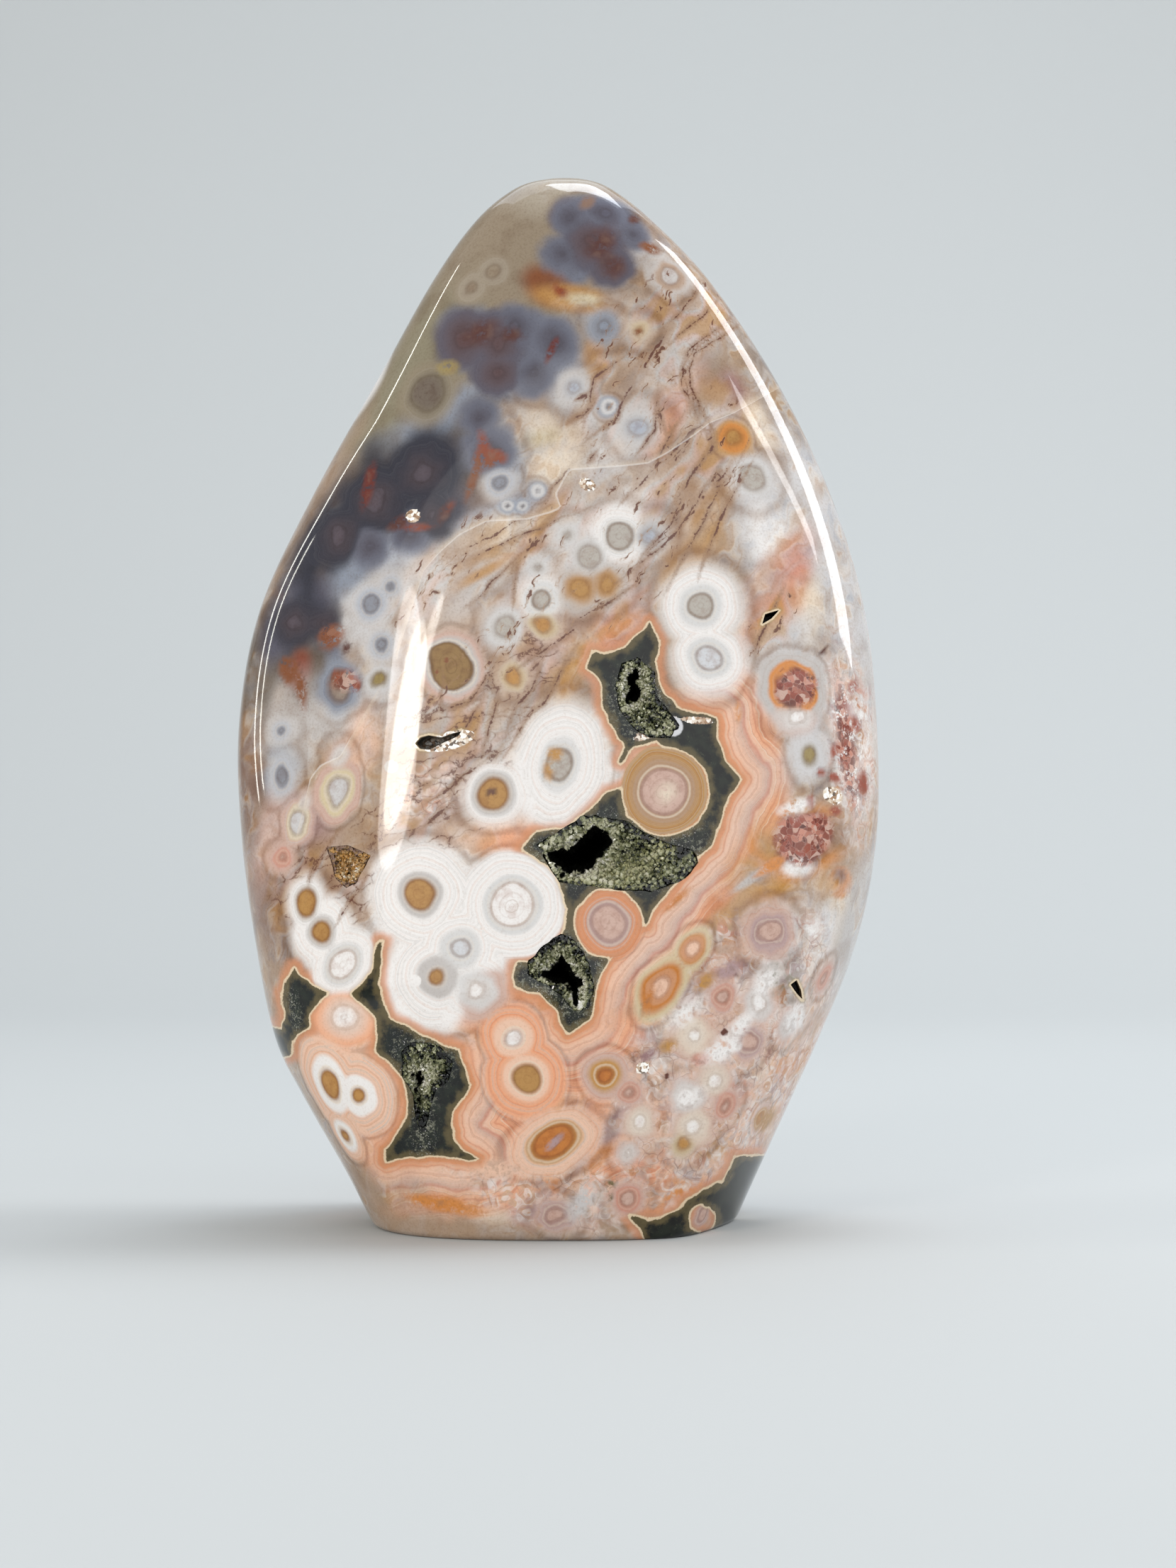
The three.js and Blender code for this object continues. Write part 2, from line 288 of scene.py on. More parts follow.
# Orbs: colours of core, ring and outer zone, softness of the three edges, strength of the fine
# rings, and how ragged the outlines are, in millimetres
ORB_KINDS = {
    "grey_eye": ("grey", "pale_grey", "white", (0.25, 0.6, 1.5), 0.55, 0.12),
    "plum_cloud": ("plum", "mauve_slate", "slate", (2, 1.8, 0.7), 0.1, 0.5),
    "blue_cloud": ("slate", "slate", "blue_slate", (2.2, 2.2, 1.3), 0.1, 0.5),
    "night_cloud": ("mauve_slate", "dark_slate", "dark_slate", (3, 2.4, 1.8), 0.1, 0.7),
    "gold_eye": ("ochre", "gold", "haze", (1.3, 1.2, 1.3), 0.2, 0.5),
    "blue_haze": ("haze_blue", "cool_grey", "haze_blue", (0.9, 0.9, 1.2), 0.3, 0.2),
    "pale_eye": ("cool_white", "pale_grey", "white", (0.25, 0.5, 1.5), 0.55, 0.1),
    "grey_spot": ("grey", "pale_grey", "fog", (0.7, 1, 1.6), 0.4, 0.2),
    "faint_spot": ("taupe", "warm_grey", "taupe", (0.9, 1.2, 1.4), 0.25, 0.1),
    "blue_eye": ("cool_grey", "ice", "fog", (0.6, 1, 1.5), 0.6, 0.2),
    "blue_spot": ("ice", "fog", "haze", (1.2, 1.6, 1.8), 0.2, 0.3),
    "ring_eye": ("cool_grey", "fog", "haze_blue", (0.3, 0.3, 0.5), 0.35, 0.1),
    "ochre_eye": ("ochre", "haze", "white", (0.35, 0.45, 1.2), 0.55, 0.12),
    "gold_spot": ("gold", "pale_yellow", "beige", (0.7, 0.9, 1.2), 0.3, 0.4),
    "olive_spot": ("olive_gold", "fog", "fog", (0.6, 0.5, 1), 0.3, 0.3),
    "khaki_eye": ("khaki", "haze", "pink", (0.25, 0.3, 0.6), 0.7, 0.35),
    "oval_eye": ("umber_grey", "khaki_grey", "taupe", (1.2, 1.8, 1.8), 0.25, 0.15),
    "sand_ring": ("haze", "tan", "haze", (0.8, 0.7, 1), 0.3, 0.5),
    "pink_eye": ("pink", "tan", "ochre", (0.15, 0.8, 0.3), 1, 0.04),
    "lilac_eye": ("pink", "lilac", "deep_salmon", (0.9, 0.3, 0.3), 0.8, 0.04),
    "white_orb": ("white", "pale_grey", "white", (0.3, 0.35, 0.6), 0.55, 0.05),
    "peach_eye": ("ochre", "pale_salmon", "salmon", (0.4, 0.4, 0.5), 1, 0.1),
    "peach_ring": ("white", "pale_salmon", "salmon", (0.5, 0.4, 0.5), 1, 0.1),
    "rose_ring": ("pink", "rose", "pink", (0.6, 0.6, 1), 0.6, 0.4),
    "dome": ("white", "pale_salmon", "salmon", (1.6, 1.2, 0.8), 0.3, 0.1),
    "cream_eye": ("gold", "white", "pale_salmon", (0.35, 0.4, 0.5), 1, 0.1),
    "orange_orb": ("amber", "gold", "pink", (0.4, 0.5, 0.7), 0.8, 0.2),
    "agate_oval": ("pale_salmon", "amber", "pale_yellow", (0.5, 0.5, 0.5), 0.5, 0.2),
    "amber_oval": ("amber", "gold", "pale_salmon", (0.4, 0.4, 0.9), 0.9, 0.2),
    "rust_orb": ("dusk", "blue_slate", "haze_blue", (0.8, 0.7, 1.2), 0.4, 0.4),
    "amber_orb": ("ochre", "orange", "gold", (0.8, 0.5, 0.6), 0.25, 0.15),
    "brick_orb": ("brick", "orange", "haze", (0.5, 0.35, 0.7), 0.5, 0.4),
    "lilac_swirl": ("pink", "lilac", "pink", (0.8, 0.9, 1.3), 0.7, 0.6),
    "milk": ("white", "pale_grey", "pink", (0.9, 1, 1.2), 0.4, 0.5),
    "glow": ("white", "cream", "pink", (1.4, 1.2, 1.2), 0.5, 0.5),
    "crescent": ("fog", "pale_yellow", "pink", (0.6, 0.35, 0.5), 0.8, 0.3),
}

ORB_MERGE = 0.3  # millimetres over which the colours of touching orbs run together
ORB_WARP = 0.3  # millimetres by which their outlines wander

# Kind, place across and up in the view, and radii of core, ring and outer zone; then, for an oval,
# how many times longer than wide it is, and its tilt in degrees
FRONT_ORBS = (
    ("blue_cloud", 1.9, 141.4, 0.8, 2, 3),
    ("blue_cloud", 6.4, 142, 0.8, 2.2, 3.4),
    ("plum_cloud", 4.6, 137.9, 1.2, 3.2, 4.6),
    ("blue_cloud", 0.4, 136.3, 0.7, 1.8, 2.8),
    ("plum_cloud", 7.2, 134.8, 1.2, 2.4, 3.4),
    ("blue_cloud", 10.4, 139, 0.6, 1.4, 2.2),
    ("plum_cloud", -13.1, 124.6, 1.8, 3.5, 4.3),
    ("plum_cloud", -8.6, 124, 1.4, 3, 4.4),
    ("blue_cloud", -5.8, 126.2, 0.8, 2.4, 3.4),
    ("blue_cloud", -0.6, 123.7, 1, 2.3, 3.5),
    ("plum_cloud", -8.6, 119.8, 1, 2.8, 3.8),
    ("blue_cloud", -3.9, 119.4, 0.8, 2, 3.2),
    ("blue_cloud", -10.9, 113.2, 0.7, 1.8, 3.1),
    ("blue_cloud", -9.6, 108.6, 1, 2.7, 4),
    ("night_cloud", -19.3, 105.4, 1.6, 3.6, 5),
    ("night_cloud", -25.5, 101.5, 1.6, 3.6, 5),
    ("night_cloud", -17.6, 99.8, 1, 2.6, 3.8),
    ("blue_cloud", -20.8, 96.8, 0.6, 1.8, 2.9),
    ("night_cloud", -31, 96.4, 1.6, 3.2, 4.4),
    ("blue_cloud", -26.6, 95.4, 1, 2.2, 3.2),
    ("night_cloud", -37.4, 84.4, 1.2, 2.6, 3.4),
    ("night_cloud", -33, 84.6, 0.8, 1.8, 2.6),
    ("faint_spot", -9.1, 133.6, 1.2, 1.8, 2.4),
    ("faint_spot", -12.3, 131.6, 1.1, 1.8, 2.6),
    ("sand_ring", 15.4, 133.2, 1.5, 2.1, 3),
    ("oval_eye", -18.6, 116.6, 2.6, 3, 4, 1.15, 65),
    ("blue_haze", 6.5, 126, 1.2, 1.9, 2.6),
    ("gold_spot", 11.3, 125.6, 0.7, 1.2, 1.8),
    ("blue_eye", -8.3, 104.1, 1.1, 1.7, 2.4),
    ("ring_eye", -3, 103.3, 0.4, 1.1, 1.4),
    ("ring_eye", -7.4, 100.8, 0.35, 0.8, 1.1),
    ("ring_eye", -5.1, 101, 0.35, 0.7, 0.9),
    ("ring_eye", 6.7, 114.6, 0.5, 1.1, 1.5),
    ("blue_spot", 11, 112.1, 1.3, 2.2, 3),
    ("blue_spot", 2.2, 117.3, 1, 1.7, 2.4),
    ("amber_orb", 24.6, 110.2, 1.4, 2.2, 2.7),
    ("grey_spot", 27.5, 104.8, 2.1, 2.6, 3.4),
    ("grey_eye", 8.6, 96.6, 1.9, 2.4, 3.9),
    ("grey_spot", 4.2, 93.6, 1.7, 2.1, 2.8),
    ("blue_spot", 12.3, 96.4, 1.3, 1.9, 2.6),
    ("grey_spot", 1.2, 96.6, 0.7, 1.2, 1.8),
    ("grey_spot", -3, 92.4, 0.6, 1, 1.4),
    ("grey_eye", -2.5, 88, 1.5, 2.6, 3.2),
    ("gold_eye", 3, 89.3, 1.5, 2.2, 3.4),
    ("gold_eye", 6.4, 90, 1.1, 1.8, 3.2),
    ("gold_spot", -2.4, 84.6, 1.3, 1.8, 2.4),
    ("grey_spot", -7.9, 83.8, 1.7, 2.3, 3.1),
    ("khaki_eye", -15.3, 78.5, 3.2, 3.9, 4.7, 1.12, 100),
    ("gold_spot", -6.6, 77, 1.2, 1.6, 2.3),
    ("blue_eye", -26.3, 87.1, 1.3, 2.2, 3),
    ("blue_eye", -23.7, 89.4, 0.8, 1.3, 1.9),
    ("blue_eye", -24.9, 81.2, 0.9, 1.5, 2.4),
    ("olive_spot", -24.9, 76.4, 1.3, 1.8, 2.4),
    ("rust_orb", -30.6, 75.9, 2.2, 2.8, 3.9),
    ("blue_eye", -39.2, 69.1, 0.6, 1.1, 1.8),
    ("blue_eye", -39.2, 62.7, 1.1, 1.6, 2.2, 1.4, 90),
    ("milk", -30.8, 65.2, 1, 1.6, 2.2),
    ("crescent", -31.2, 60.6, 1.8, 2.7, 3.9, 1.3, 75),
    ("milk", -35.9, 59.2, 0.6, 0.9, 1.3),
    ("crescent", -36.6, 56.2, 1.6, 2.1, 2.8, 1.2, 100),
    ("rose_ring", -38.9, 51.5, 0.8, 1.5, 2.3),
    ("grey_eye", 20.3, 86.8, 2.05, 3.2, 6),
    ("pale_eye", 21.2, 79.1, 1.95, 3, 5.2),
    ("grey_eye", 0, 64.2, 1.9, 2.8, 6.6, 1.4, 78),
    ("ochre_eye", -9.4, 60.4, 2.4, 3.2, 4.4),
    ("pink_eye", 15, 60.6, 3.45, 4.7, 6.4),
    ("lilac_eye", 7.1, 42, 2.7, 3.15, 5),
    ("ochre_eye", -19.8, 45.8, 2.3, 3.3, 7.3),
    ("white_orb", -6.8, 44.5, 3.3, 4.3, 7.8),
    ("pale_eye", -13.9, 38.5, 1.5, 2.9, 6.6),
    ("ochre_eye", -17.1, 34.2, 1.3, 3, 7.2),
    ("milk", -11.7, 32.6, 1.4, 2.6, 4.6),
    ("ochre_eye", -35.5, 44.6, 1.7, 2.1, 3.4, 1.25, 105),
    ("ochre_eye", -33.3, 40.6, 1.6, 2.3, 5.2),
    ("white_orb", -30.3, 36, 2, 2.7, 4.6, 1.3, 40),
    ("dome", -30.3, 28.6, 1.9, 3, 4.2, 1.4, 5),
    ("cream_eye", -32.4, 19.5, 1.7, 3.2, 5.8, 1.3, 105),
    ("cream_eye", -28.2, 17.4, 1.2, 3, 5.8),
    ("cream_eye", -30.1, 11.8, 0.9, 1.9, 2.9, 1.4, 115),
    ("brick_orb", 33.3, 75.2, 2.9, 3.9, 5.4),
    ("milk", 33.3, 71, 1.3, 1.9, 2.6, 1.4, 0),
    ("olive_spot", 35.3, 65.5, 1.1, 1.8, 2.7, 1.25, 90),
    ("peach_ring", -6.2, 26, 1.4, 2.9, 4.6),
    ("peach_eye", -4.4, 19.9, 2.1, 3.3, 5.7),
    ("orange_orb", 6.4, 20.6, 1.3, 2.3, 3.6),
    ("amber_oval", -0.5, 10.9, 2.2, 2.8, 4.4, 1.5, 25),
    ("agate_oval", 14.2, 32.8, 1.3, 2.3, 3, 1.8, 54),
    ("agate_oval", 19.2, 38.6, 1.1, 1.8, 2.5, 1.4, 60),
    ("lilac_swirl", 30.1, 40.4, 1.6, 2.6, 3.8),
    ("rose_ring", 37.4, 33.9, 1.1, 1.8, 2.5),
    ("milk", 28.5, 30.8, 1.6, 2.3, 2.9),
    ("rose_ring", 23.1, 31.8, 1.1, 1.7, 2.4),
    ("glow", 19.1, 26, 1.2, 2.4, 3.4),
    ("milk", 32.4, 27.6, 1.2, 1.8, 2.6),
    ("lilac_swirl", 26.6, 25.5, 1.4, 2.2, 3),
    ("rose_ring", 10.1, 18.3, 0.9, 1.5, 2.2),
    ("glow", 22, 19.9, 1.2, 1.9, 2.8),
    ("milk", 18, 17.6, 1.6, 2.2, 2.8),
    ("rose_ring", 23.4, 16, 1.2, 1.9, 2.7),
    ("glow", 11.5, 13.9, 1, 1.8, 2.6),
    ("glow", 19.1, 13, 1.4, 2.4, 3.4),
    ("gold_spot", 17.4, 10.6, 1, 1.5, 2.2),
    ("milk", 9.9, 9.5, 0.9, 1.3, 2),
    ("orange_orb", 28.5, 14.8, 1.1, 1.7, 2.4),
    ("rose_ring", 9.6, 3, 1.2, 2, 2.9),
    ("lilac_swirl", 20.2, 0.7, 1, 1.6, 2.2),
    ("lilac_swirl", -0.3, 0.9, 1.2, 1.8, 2.5),
)

# The back and the sides aren't in the photograph, so their orbs are set out by chance
BACK_KINDS = (
    "grey_eye", "ochre_eye", "pale_eye", "peach_eye", "milk", "rose_ring", "orange_orb", "khaki_eye",
    "white_orb", "lilac_swirl", "gold_spot", "blue_eye", "cream_eye", "brick_orb", "peach_ring",
)
BACK_GROUNDS = (("pink", 14), ("fog", 15), ("salmon", 16), ("haze_blue", 17))  # colour and seed
BACK_RADII = (1.3, 7)
BACK_DRIFT = (9, -21)  # how far the ground's pattern is shifted behind, across and up
BACK_SWAY = 7  # and how far it wanders there
BACK_SEED = 11
BACK_TRIES = 260

# Windows of green chalcedony, as outlines in the view
WINDOWS = (
    (
        (12.8, 84.2), (14.1, 81.6), (13.5, 79.1), (14, 76.3), (14.9, 74.2), (16.6, 72.5), (19, 71.6),
        (22.1, 70.9), (22.3, 68), (23.5, 64.9), (25.8, 62.4), (23.8, 59.8), (22.4, 55.3), (21.4, 52.9),
        (18.3, 49.8), (16.2, 47.7), (14.5, 45.6), (13, 43.4), (12.4, 41.8), (11.6, 42.2), (9, 38.8),
        (7.2, 36.9), (6, 34.9), (5.2, 32.6), (4.3, 28.3), (1.2, 26.3), (0, 29.6), (-2.7, 32),
        (-6.2, 33), (-6, 36.5), (-4, 36.6), (-1.7, 37.6), (0.3, 39.3), (1.2, 41.4), (1.3, 43.9),
        (0.5, 46.4), (-1.2, 50), (-3.5, 51.5), (-5.1, 52.4), (-3.2, 54.6), (1.1, 55.3), (4.5, 57.7),
        (6.9, 60.3), (9.5, 61), (15.5, 66.3), (13.8, 67.9), (10.4, 66.8), (8.7, 64.6), (9.3, 67.5),
        (8.4, 68.2), (7.5, 70.1), (6.3, 72.9), (6.1, 75.8), (4.2, 77.9), (4.9, 80.4), (6.3, 80),
        (9.4, 80.5), (10.7, 82),
    ),
    (
        (-24.9, 39.4), (-25.7, 38.6), (-26.2, 35), (-27.4, 33.6), (-28.9, 32), (-26.7, 29.7),
        (-25.6, 28.3), (-25.4, 25.7), (-25.7, 23.8), (-23.6, 22), (-21.9, 20.2), (-21.1, 17.7),
        (-21.1, 15.4), (-21.9, 13.1), (-23.2, 11.2), (-24.4, 10), (-24.2, 8.4), (-21.9, 8.9),
        (-18.3, 9.2), (-14.9, 8.9), (-11.3, 8.6), (-13.6, 9.7), (-14.8, 11.1), (-15.3, 13.4),
        (-15.1, 15.5), (-13.6, 17.4), (-12.6, 19), (-13.3, 21.3), (-14.1, 24), (-16.3, 24.7),
        (-19.3, 26), (-21.9, 27.5), (-23.9, 28.6), (-24.9, 30.6), (-25.6, 33.3), (-25.4, 35.3),
        (-25.2, 37.6),
    ),
    (
        (-37.3, 35.6), (-38.2, 33.6), (-39, 32), (-38.5, 29.6), (-38.9, 26.9), (-42, 27.6),
        (-40.6, 23), (-37.8, 23.4), (-37.7, 25.3), (-36.8, 26.5), (-35.2, 27.3), (-35.2, 29),
        (-33.5, 31.3), (-32.6, 32.1), (-34.9, 33.3), (-36.2, 34.3),
    ),
    (
        (24.9, 9), (24.4, 7.4), (23.1, 5.4), (21.1, 4.3), (18.4, 3.1), (16.8, 1.5), (14.4, 0.3),
        (12.5, 0.1), (10.1, 0.6), (11.5, -1), (12.8, -4), (40, -4), (34, 9.4), (29, 9.1),
    ),
)
BACK_WINDOWS = ((8, 118), (-30, 66))  # the first two turned half round: where 0, 0 goes
WINDOW_PIPS = ((15, 60.6, 6.4), (7.1, 42, 5), (-6.9, 44.4, 7.8), (20.3, 0.2, 2.1))

# Patches of ground colour: colour, place in the view, half length, half width, tilt and softness
GROUND = "sand"
ZONES = (
    ("taupe", -7, 134, 22, 12, 60, 0.4),
    ("khaki_grey", -20, 118.5, 14, 6, 60, 0.5),
    ("warm_grey", -1, 145, 6, 3, 10, 0.6),
    ("haze", 12, 134.5, 7, 4, 130, 0.5),
    ("blue_slate", 5.8, 140.8, 6.8, 3.6, 160, 0.25),
    ("blue_slate", 2, 135.6, 3.8, 3.6, 0, 0.22),
    ("blue_slate", 8.2, 134, 3.2, 3.2, 0, 0.25),
    ("mauve_slate", 1, 142, 2.5, 2.4, 0, 0.4),
    ("slate", 6.8, 140.6, 4.8, 2.8, 160, 0.5),
    ("mauve_slate", 6.6, 137.4, 3.8, 3.6, 40, 0.5),
    ("rust", -1.8, 131.9, 3.6, 2.4, 150, 0.45),
    ("dusk", 9, 123, 12, 7, 60, 0.5),
    ("haze", 8, 127.6, 3.6, 2.6, 0, 0.6),
    ("gold", 5.4, 121.8, 2.4, 1.4, 105, 0.5),
    ("dusk", 16.5, 127.5, 9, 3.4, 125, 0.5),
    ("blue_slate", -12.5, 124.3, 5, 4.9, 60, 0.2),
    ("blue_slate", -5.6, 123, 5.6, 5.6, 0, 0.2),
    ("blue_slate", -1, 122.4, 3.8, 4.6, 0, 0.22),
    ("blue_slate", -6.6, 118.6, 4.6, 3, 20, 0.3),
    ("mauve_slate", -13.2, 124, 3.8, 4.2, 90, 0.4),
    ("slate", -6.4, 120, 5, 3.4, 160, 0.6),
    ("slate", -8.6, 124.6, 4.4, 2.6, 0, 0.6),
    ("haze_blue", 2.4, 117.6, 4.4, 2.6, 50, 0.5),
    ("haze_blue", -16.4, 113.2, 10, 3, 30, 0.5),
    ("haze_blue", -6, 108.2, 5.4, 5, 60, 0.5),
    ("umber_grey", -11.4, 110.2, 6, 3.6, 78, 0.4),
    ("dark_slate", -19.2, 104.6, 8, 5.8, 60, 0.3),
    ("dark_slate", -27.5, 99.5, 12, 4.6, 60, 0.35),
    ("slate", -17, 99.2, 6, 2.6, 35, 0.6),
    ("blue_slate", -23.5, 95.4, 7, 2.4, 40, 0.6),
    ("ice", -24.5, 92.4, 9, 2.6, 45, 0.6),
    ("ice", -9, 99, 8, 2, 25, 0.6),
    ("cream", 0.4, 107.6, 5, 3, 30, 0.6),
    ("fog", 8.5, 109, 7, 3.6, 45, 0.5),
    ("haze", 14, 119.5, 6, 3, 60, 0.6),
    ("deep_salmon", 15.7, 115, 3.4, 2.6, 45, 0.5),
    ("mauve", 24.6, 117.2, 2.6, 2, 120, 0.6),
    ("pink", 15, 110, 4.4, 2, 60, 0.6),
    ("fog", 22, 112.6, 3.4, 2, 60, 0.6),
    ("fog", 22, 105.4, 6, 2.2, 60, 0.6),
    ("tan", 17, 101.5, 9, 3.6, 58, 0.5),
    ("gold", 20.4, 97.6, 6, 2.2, 62, 0.6),
    ("haze", 10.6, 102.2, 6, 2, 55, 0.6),
    ("fog", 29.7, 98.3, 9, 5.6, 105, 0.4),
    ("white", 30.2, 97.2, 4.4, 3.6, 100, 0.6),
    ("fog", 7, 94.6, 9, 5, 20, 0.5),
    ("cream", -5, 96, 8, 2.8, 12, 0.5),
    ("gold", -3.6, 94.7, 4, 0.9, 5, 0.7),
    ("fog", -14, 92, 7, 3.4, 45, 0.5),
    ("gold", 2.6, 129.6, 3, 1.2, 170, 0.6),
    ("haze", 1.4, 117, 2.8, 2.2, 60, 0.6),
    ("fog", 4.6, 113.8, 2.8, 2.2, 60, 0.6),
    ("cream", -3.8, 111.4, 3.6, 2.4, 20, 0.9),
    ("pale_yellow", -2.6, 110.4, 2.6, 1.2, 10, 0.9),
    ("white", 8.8, 111, 4.2, 2, 58, 0.6),
    ("haze", 18, 122.6, 5, 2.4, 60, 0.6),
    ("pink", 18.2, 118.2, 4, 2, 60, 0.6),
    ("rose", 15, 113, 4.6, 1.6, 62, 0.6),
    ("tan", 19.6, 106.8, 5, 1.6, 35, 0.6),
    ("gold", 21.6, 99.8, 5, 1.6, 60, 0.6),
    ("gold", 17.6, 93.4, 3.6, 1.8, 55, 0.6),
    ("white", 10.4, 100.4, 4.4, 2.2, 50, 0.6),
    ("white", 6.4, 97.8, 6.4, 4.4, 20, 0.7),
    ("cream", -8.6, 97, 6, 1.8, 15, 0.6),
    ("gold", -5.2, 94.6, 3.4, 0.7, 8, 0.7),
    ("fog", -3, 90.4, 8, 3, 35, 0.6),
    ("white", -1.2, 91.4, 4, 1.8, 40, 0.7),
    ("fog", -12, 88, 6, 2.2, 48, 0.6),
    ("white", -21, 88, 6, 3, 55, 0.7),
    ("fog", -24, 84, 6, 3.6, 60, 0.6),
    ("gold", 1.4, 130.2, 5, 1.7, 172, 0.5),
    ("pale_yellow", 3.4, 130, 2.4, 0.8, 172, 0.6),
    ("ochre", 5, 120.6, 2.8, 1.3, 105, 0.5),
    ("ochre", 21.6, 99.4, 5.6, 1.7, 60, 0.5),
    ("dun", 17.6, 102, 6.6, 1.2, 62, 0.5),
    ("dun", 17.2, 109.4, 3, 1.5, 45, 0.5),
    ("ochre", 17, 92, 4.4, 1.8, 60, 0.6),
    ("deep_salmon", 14.8, 112.4, 3.6, 1.8, 60, 0.5),
    ("cream", 28.4, 112.6, 4, 1.6, 118, 0.5),
    ("tan", 22.2, 117, 2.8, 1.8, 140, 0.6),
    ("ochre", -8, 94.8, 6, 0.8, 24, 0.6),
    ("gold", -10.8, 91.4, 4, 0.8, 30, 0.6),
    ("pink", 31.4, 91.6, 9, 3.2, 50, 0.35),
    ("rose", 33.8, 93, 4.6, 2.6, 60, 0.6),
    ("cream", 35, 85, 8, 2.6, 60, 0.4),
    ("deep_salmon", 29.6, 84.6, 7, 2.6, 50, 0.5),
    ("salmon", 27.2, 80.6, 3.8, 2.2, 75, 0.5),
    ("rose", 7.6, 83.4, 6.4, 2.8, 50, 0.6),
    ("deep_salmon", 8.4, 84.2, 4.4, 1.8, 40, 0.6),
    ("fog", -27, 87, 7, 4, 50, 0.5),
    ("haze_blue", -28.6, 92.4, 6, 2.2, 48, 0.6),
    ("slate", -37, 84, 8, 4.4, 66, 0.35),
    ("dark_slate", -37.4, 83, 6.4, 3.4, 70, 0.4),
    ("blue_slate", -32.8, 79.4, 3.4, 2.4, 80, 0.5),
    ("umber_grey", -41.2, 77, 8, 1.8, 80, 0.5),
    ("shaded_taupe", -35.6, 76.4, 5.4, 3, 78, 0.4),
    ("ember", -36.6, 77.4, 3, 1.4, 80, 0.6),
    ("fog", -28, 71.4, 8, 3.2, 10, 0.5),
    ("haze", -38, 68, 8, 5, 80, 0.5),
    ("haze_blue", -39.6, 62.6, 4, 2.6, 90, 0.6),
    ("pale_salmon", -28, 66, 6, 2.6, 75, 0.5),
    ("sand", -33.6, 62.6, 5, 2.2, 45, 0.6),
    ("beige", -13, 78, 12, 7, 50, 0.5),
    ("tan", -14.5, 71, 10, 7, 60, 0.5),
    ("sand", -12, 70.6, 9, 5.4, 60, 0.5),
    ("dun", -15, 65.4, 5, 3, 60, 0.6),
    ("haze", -15, 73.4, 4, 1.4, 20, 0.6),
    ("pink", -2, 80, 7, 2.6, 50, 0.6),
    ("gold", 2.2, 77.6, 6, 2, 62, 0.5),
    ("haze", -7, 70, 4, 2.4, 50, 0.6),
    ("lilac", -16.2, 60, 5, 3.4, 45, 0.5),
    ("fog", -16, 62.6, 3.4, 1.6, 40, 0.6),
    ("sand", -26, 57, 7, 3.4, 100, 0.5),
    ("lilac", -37, 50, 9, 6, 90, 0.5),
    ("mocha", -34.6, 48.4, 5, 3, 80, 0.5),
    ("pink", -40, 52, 8, 2.6, 90, 0.5),
    ("mocha", -39, 42.4, 7, 3.4, 100, 0.5),
    ("sand", -29.2, 50.4, 5, 4, 0, 0.5),
    ("white", 0, 64.8, 9.4, 8, 0, 0.25),
    ("white", 9.5, 64, 5.4, 3, 45, 0.4),
    ("pale_salmon", -12, 54.2, 9, 2.4, 10, 0.5),
    ("salmon", -6, 53.4, 5, 1.8, 10, 0.5),
    ("white", -19.5, 45.5, 9, 8.4, 0, 0.2),
    ("white", -12, 41, 9, 8, 0, 0.25),
    ("white", -16, 34, 9.5, 8.6, 0, 0.2),
    ("white", -31.2, 38, 6.4, 5, 120, 0.3),
    ("salmon", -3, 17, 19, 15, 25, 0.2),
    ("salmon", -7, 28, 9, 4.5, 160, 0.3),
    ("salmon", 24.5, 66, 11, 4.6, 105, 0.35),
    ("salmon", 14, 45, 24, 6, 58, 0.3),
    ("pink", 21, 50.5, 17, 2.6, 56, 0.5),
    ("orange", 26.5, 53, 8, 1.5, 56, 0.5),
    ("orange", 28.8, 56.6, 3.4, 1.2, 100, 0.5),
    ("ochre", 26.2, 48.6, 4, 1.6, 50, 0.5),
    ("deep_salmon", 21.8, 43.8, 4.6, 2, 50, 0.5),
    ("gold", 31, 47.2, 6, 1.5, 20, 0.5),
    ("fog", 30.6, 80.2, 6, 3.4, 45, 0.5),
    ("fog", 33.5, 75, 5.8, 7, 90, 0.3),
    ("fog", 35.6, 67, 7, 4.2, 60, 0.4),
    ("orange", 34, 53.6, 6.4, 5.2, 20, 0.3),
    ("rust", 34.4, 53.8, 4.8, 4.2, 20, 0.12),
    ("brick", 34.6, 54.2, 4.2, 3.6, 20, 0.1),
    ("white", 33.7, 49.9, 2.2, 1.3, 0, 0.4),
    ("tan", 43, 57, 8, 2.4, 95, 0.5),
    ("cream", 39.4, 43, 5, 3, 60, 0.5),
    ("ochre", 29.4, 54.6, 3.8, 1.6, 100, 0.4),
    ("orange", 39.8, 47.6, 1.8, 2.4, 0, 0.15),
    ("rust", 39.6, 48.6, 1, 1.2, 0, 0.4),
    ("haze", 27.4, 48.4, 3.4, 0.6, 35, 0.5),
    ("gold", 36, 46.4, 3.6, 1.6, 20, 0.4),
    ("dun", 39.4, 54.6, 1.6, 2.4, 0, 0.5),
    ("pink", 30, 34, 10, 8, 60, 0.4),
    ("pale_salmon", 22, 20, 22, 11.5, 62, 0.3),
    ("gold", 17.4, 35.4, 3.4, 2.4, 50, 0.5),
    ("mauve", 25.4, 35.2, 2.6, 1.6, 20, 0.6),
    ("lilac", 19.6, 32.4, 3.6, 1.8, 45, 0.6),
    ("fog", 32, 39, 8, 3, 60, 0.6),
    ("haze", 33.4, 32.6, 3.6, 3, 90, 0.5),
    ("khaki_grey", 31.6, 34.6, 2.8, 2, 60, 0.6),
    ("white", 36.8, 40.4, 4, 2.2, 62, 0.5),
    ("gold", 22.6, 41.8, 5.6, 1.6, 42, 0.5),
    ("orange", 33.4, 22.6, 2.6, 1.6, 25, 0.4),
    ("cream", 17.6, 26.6, 3, 2.6, 0, 0.6),
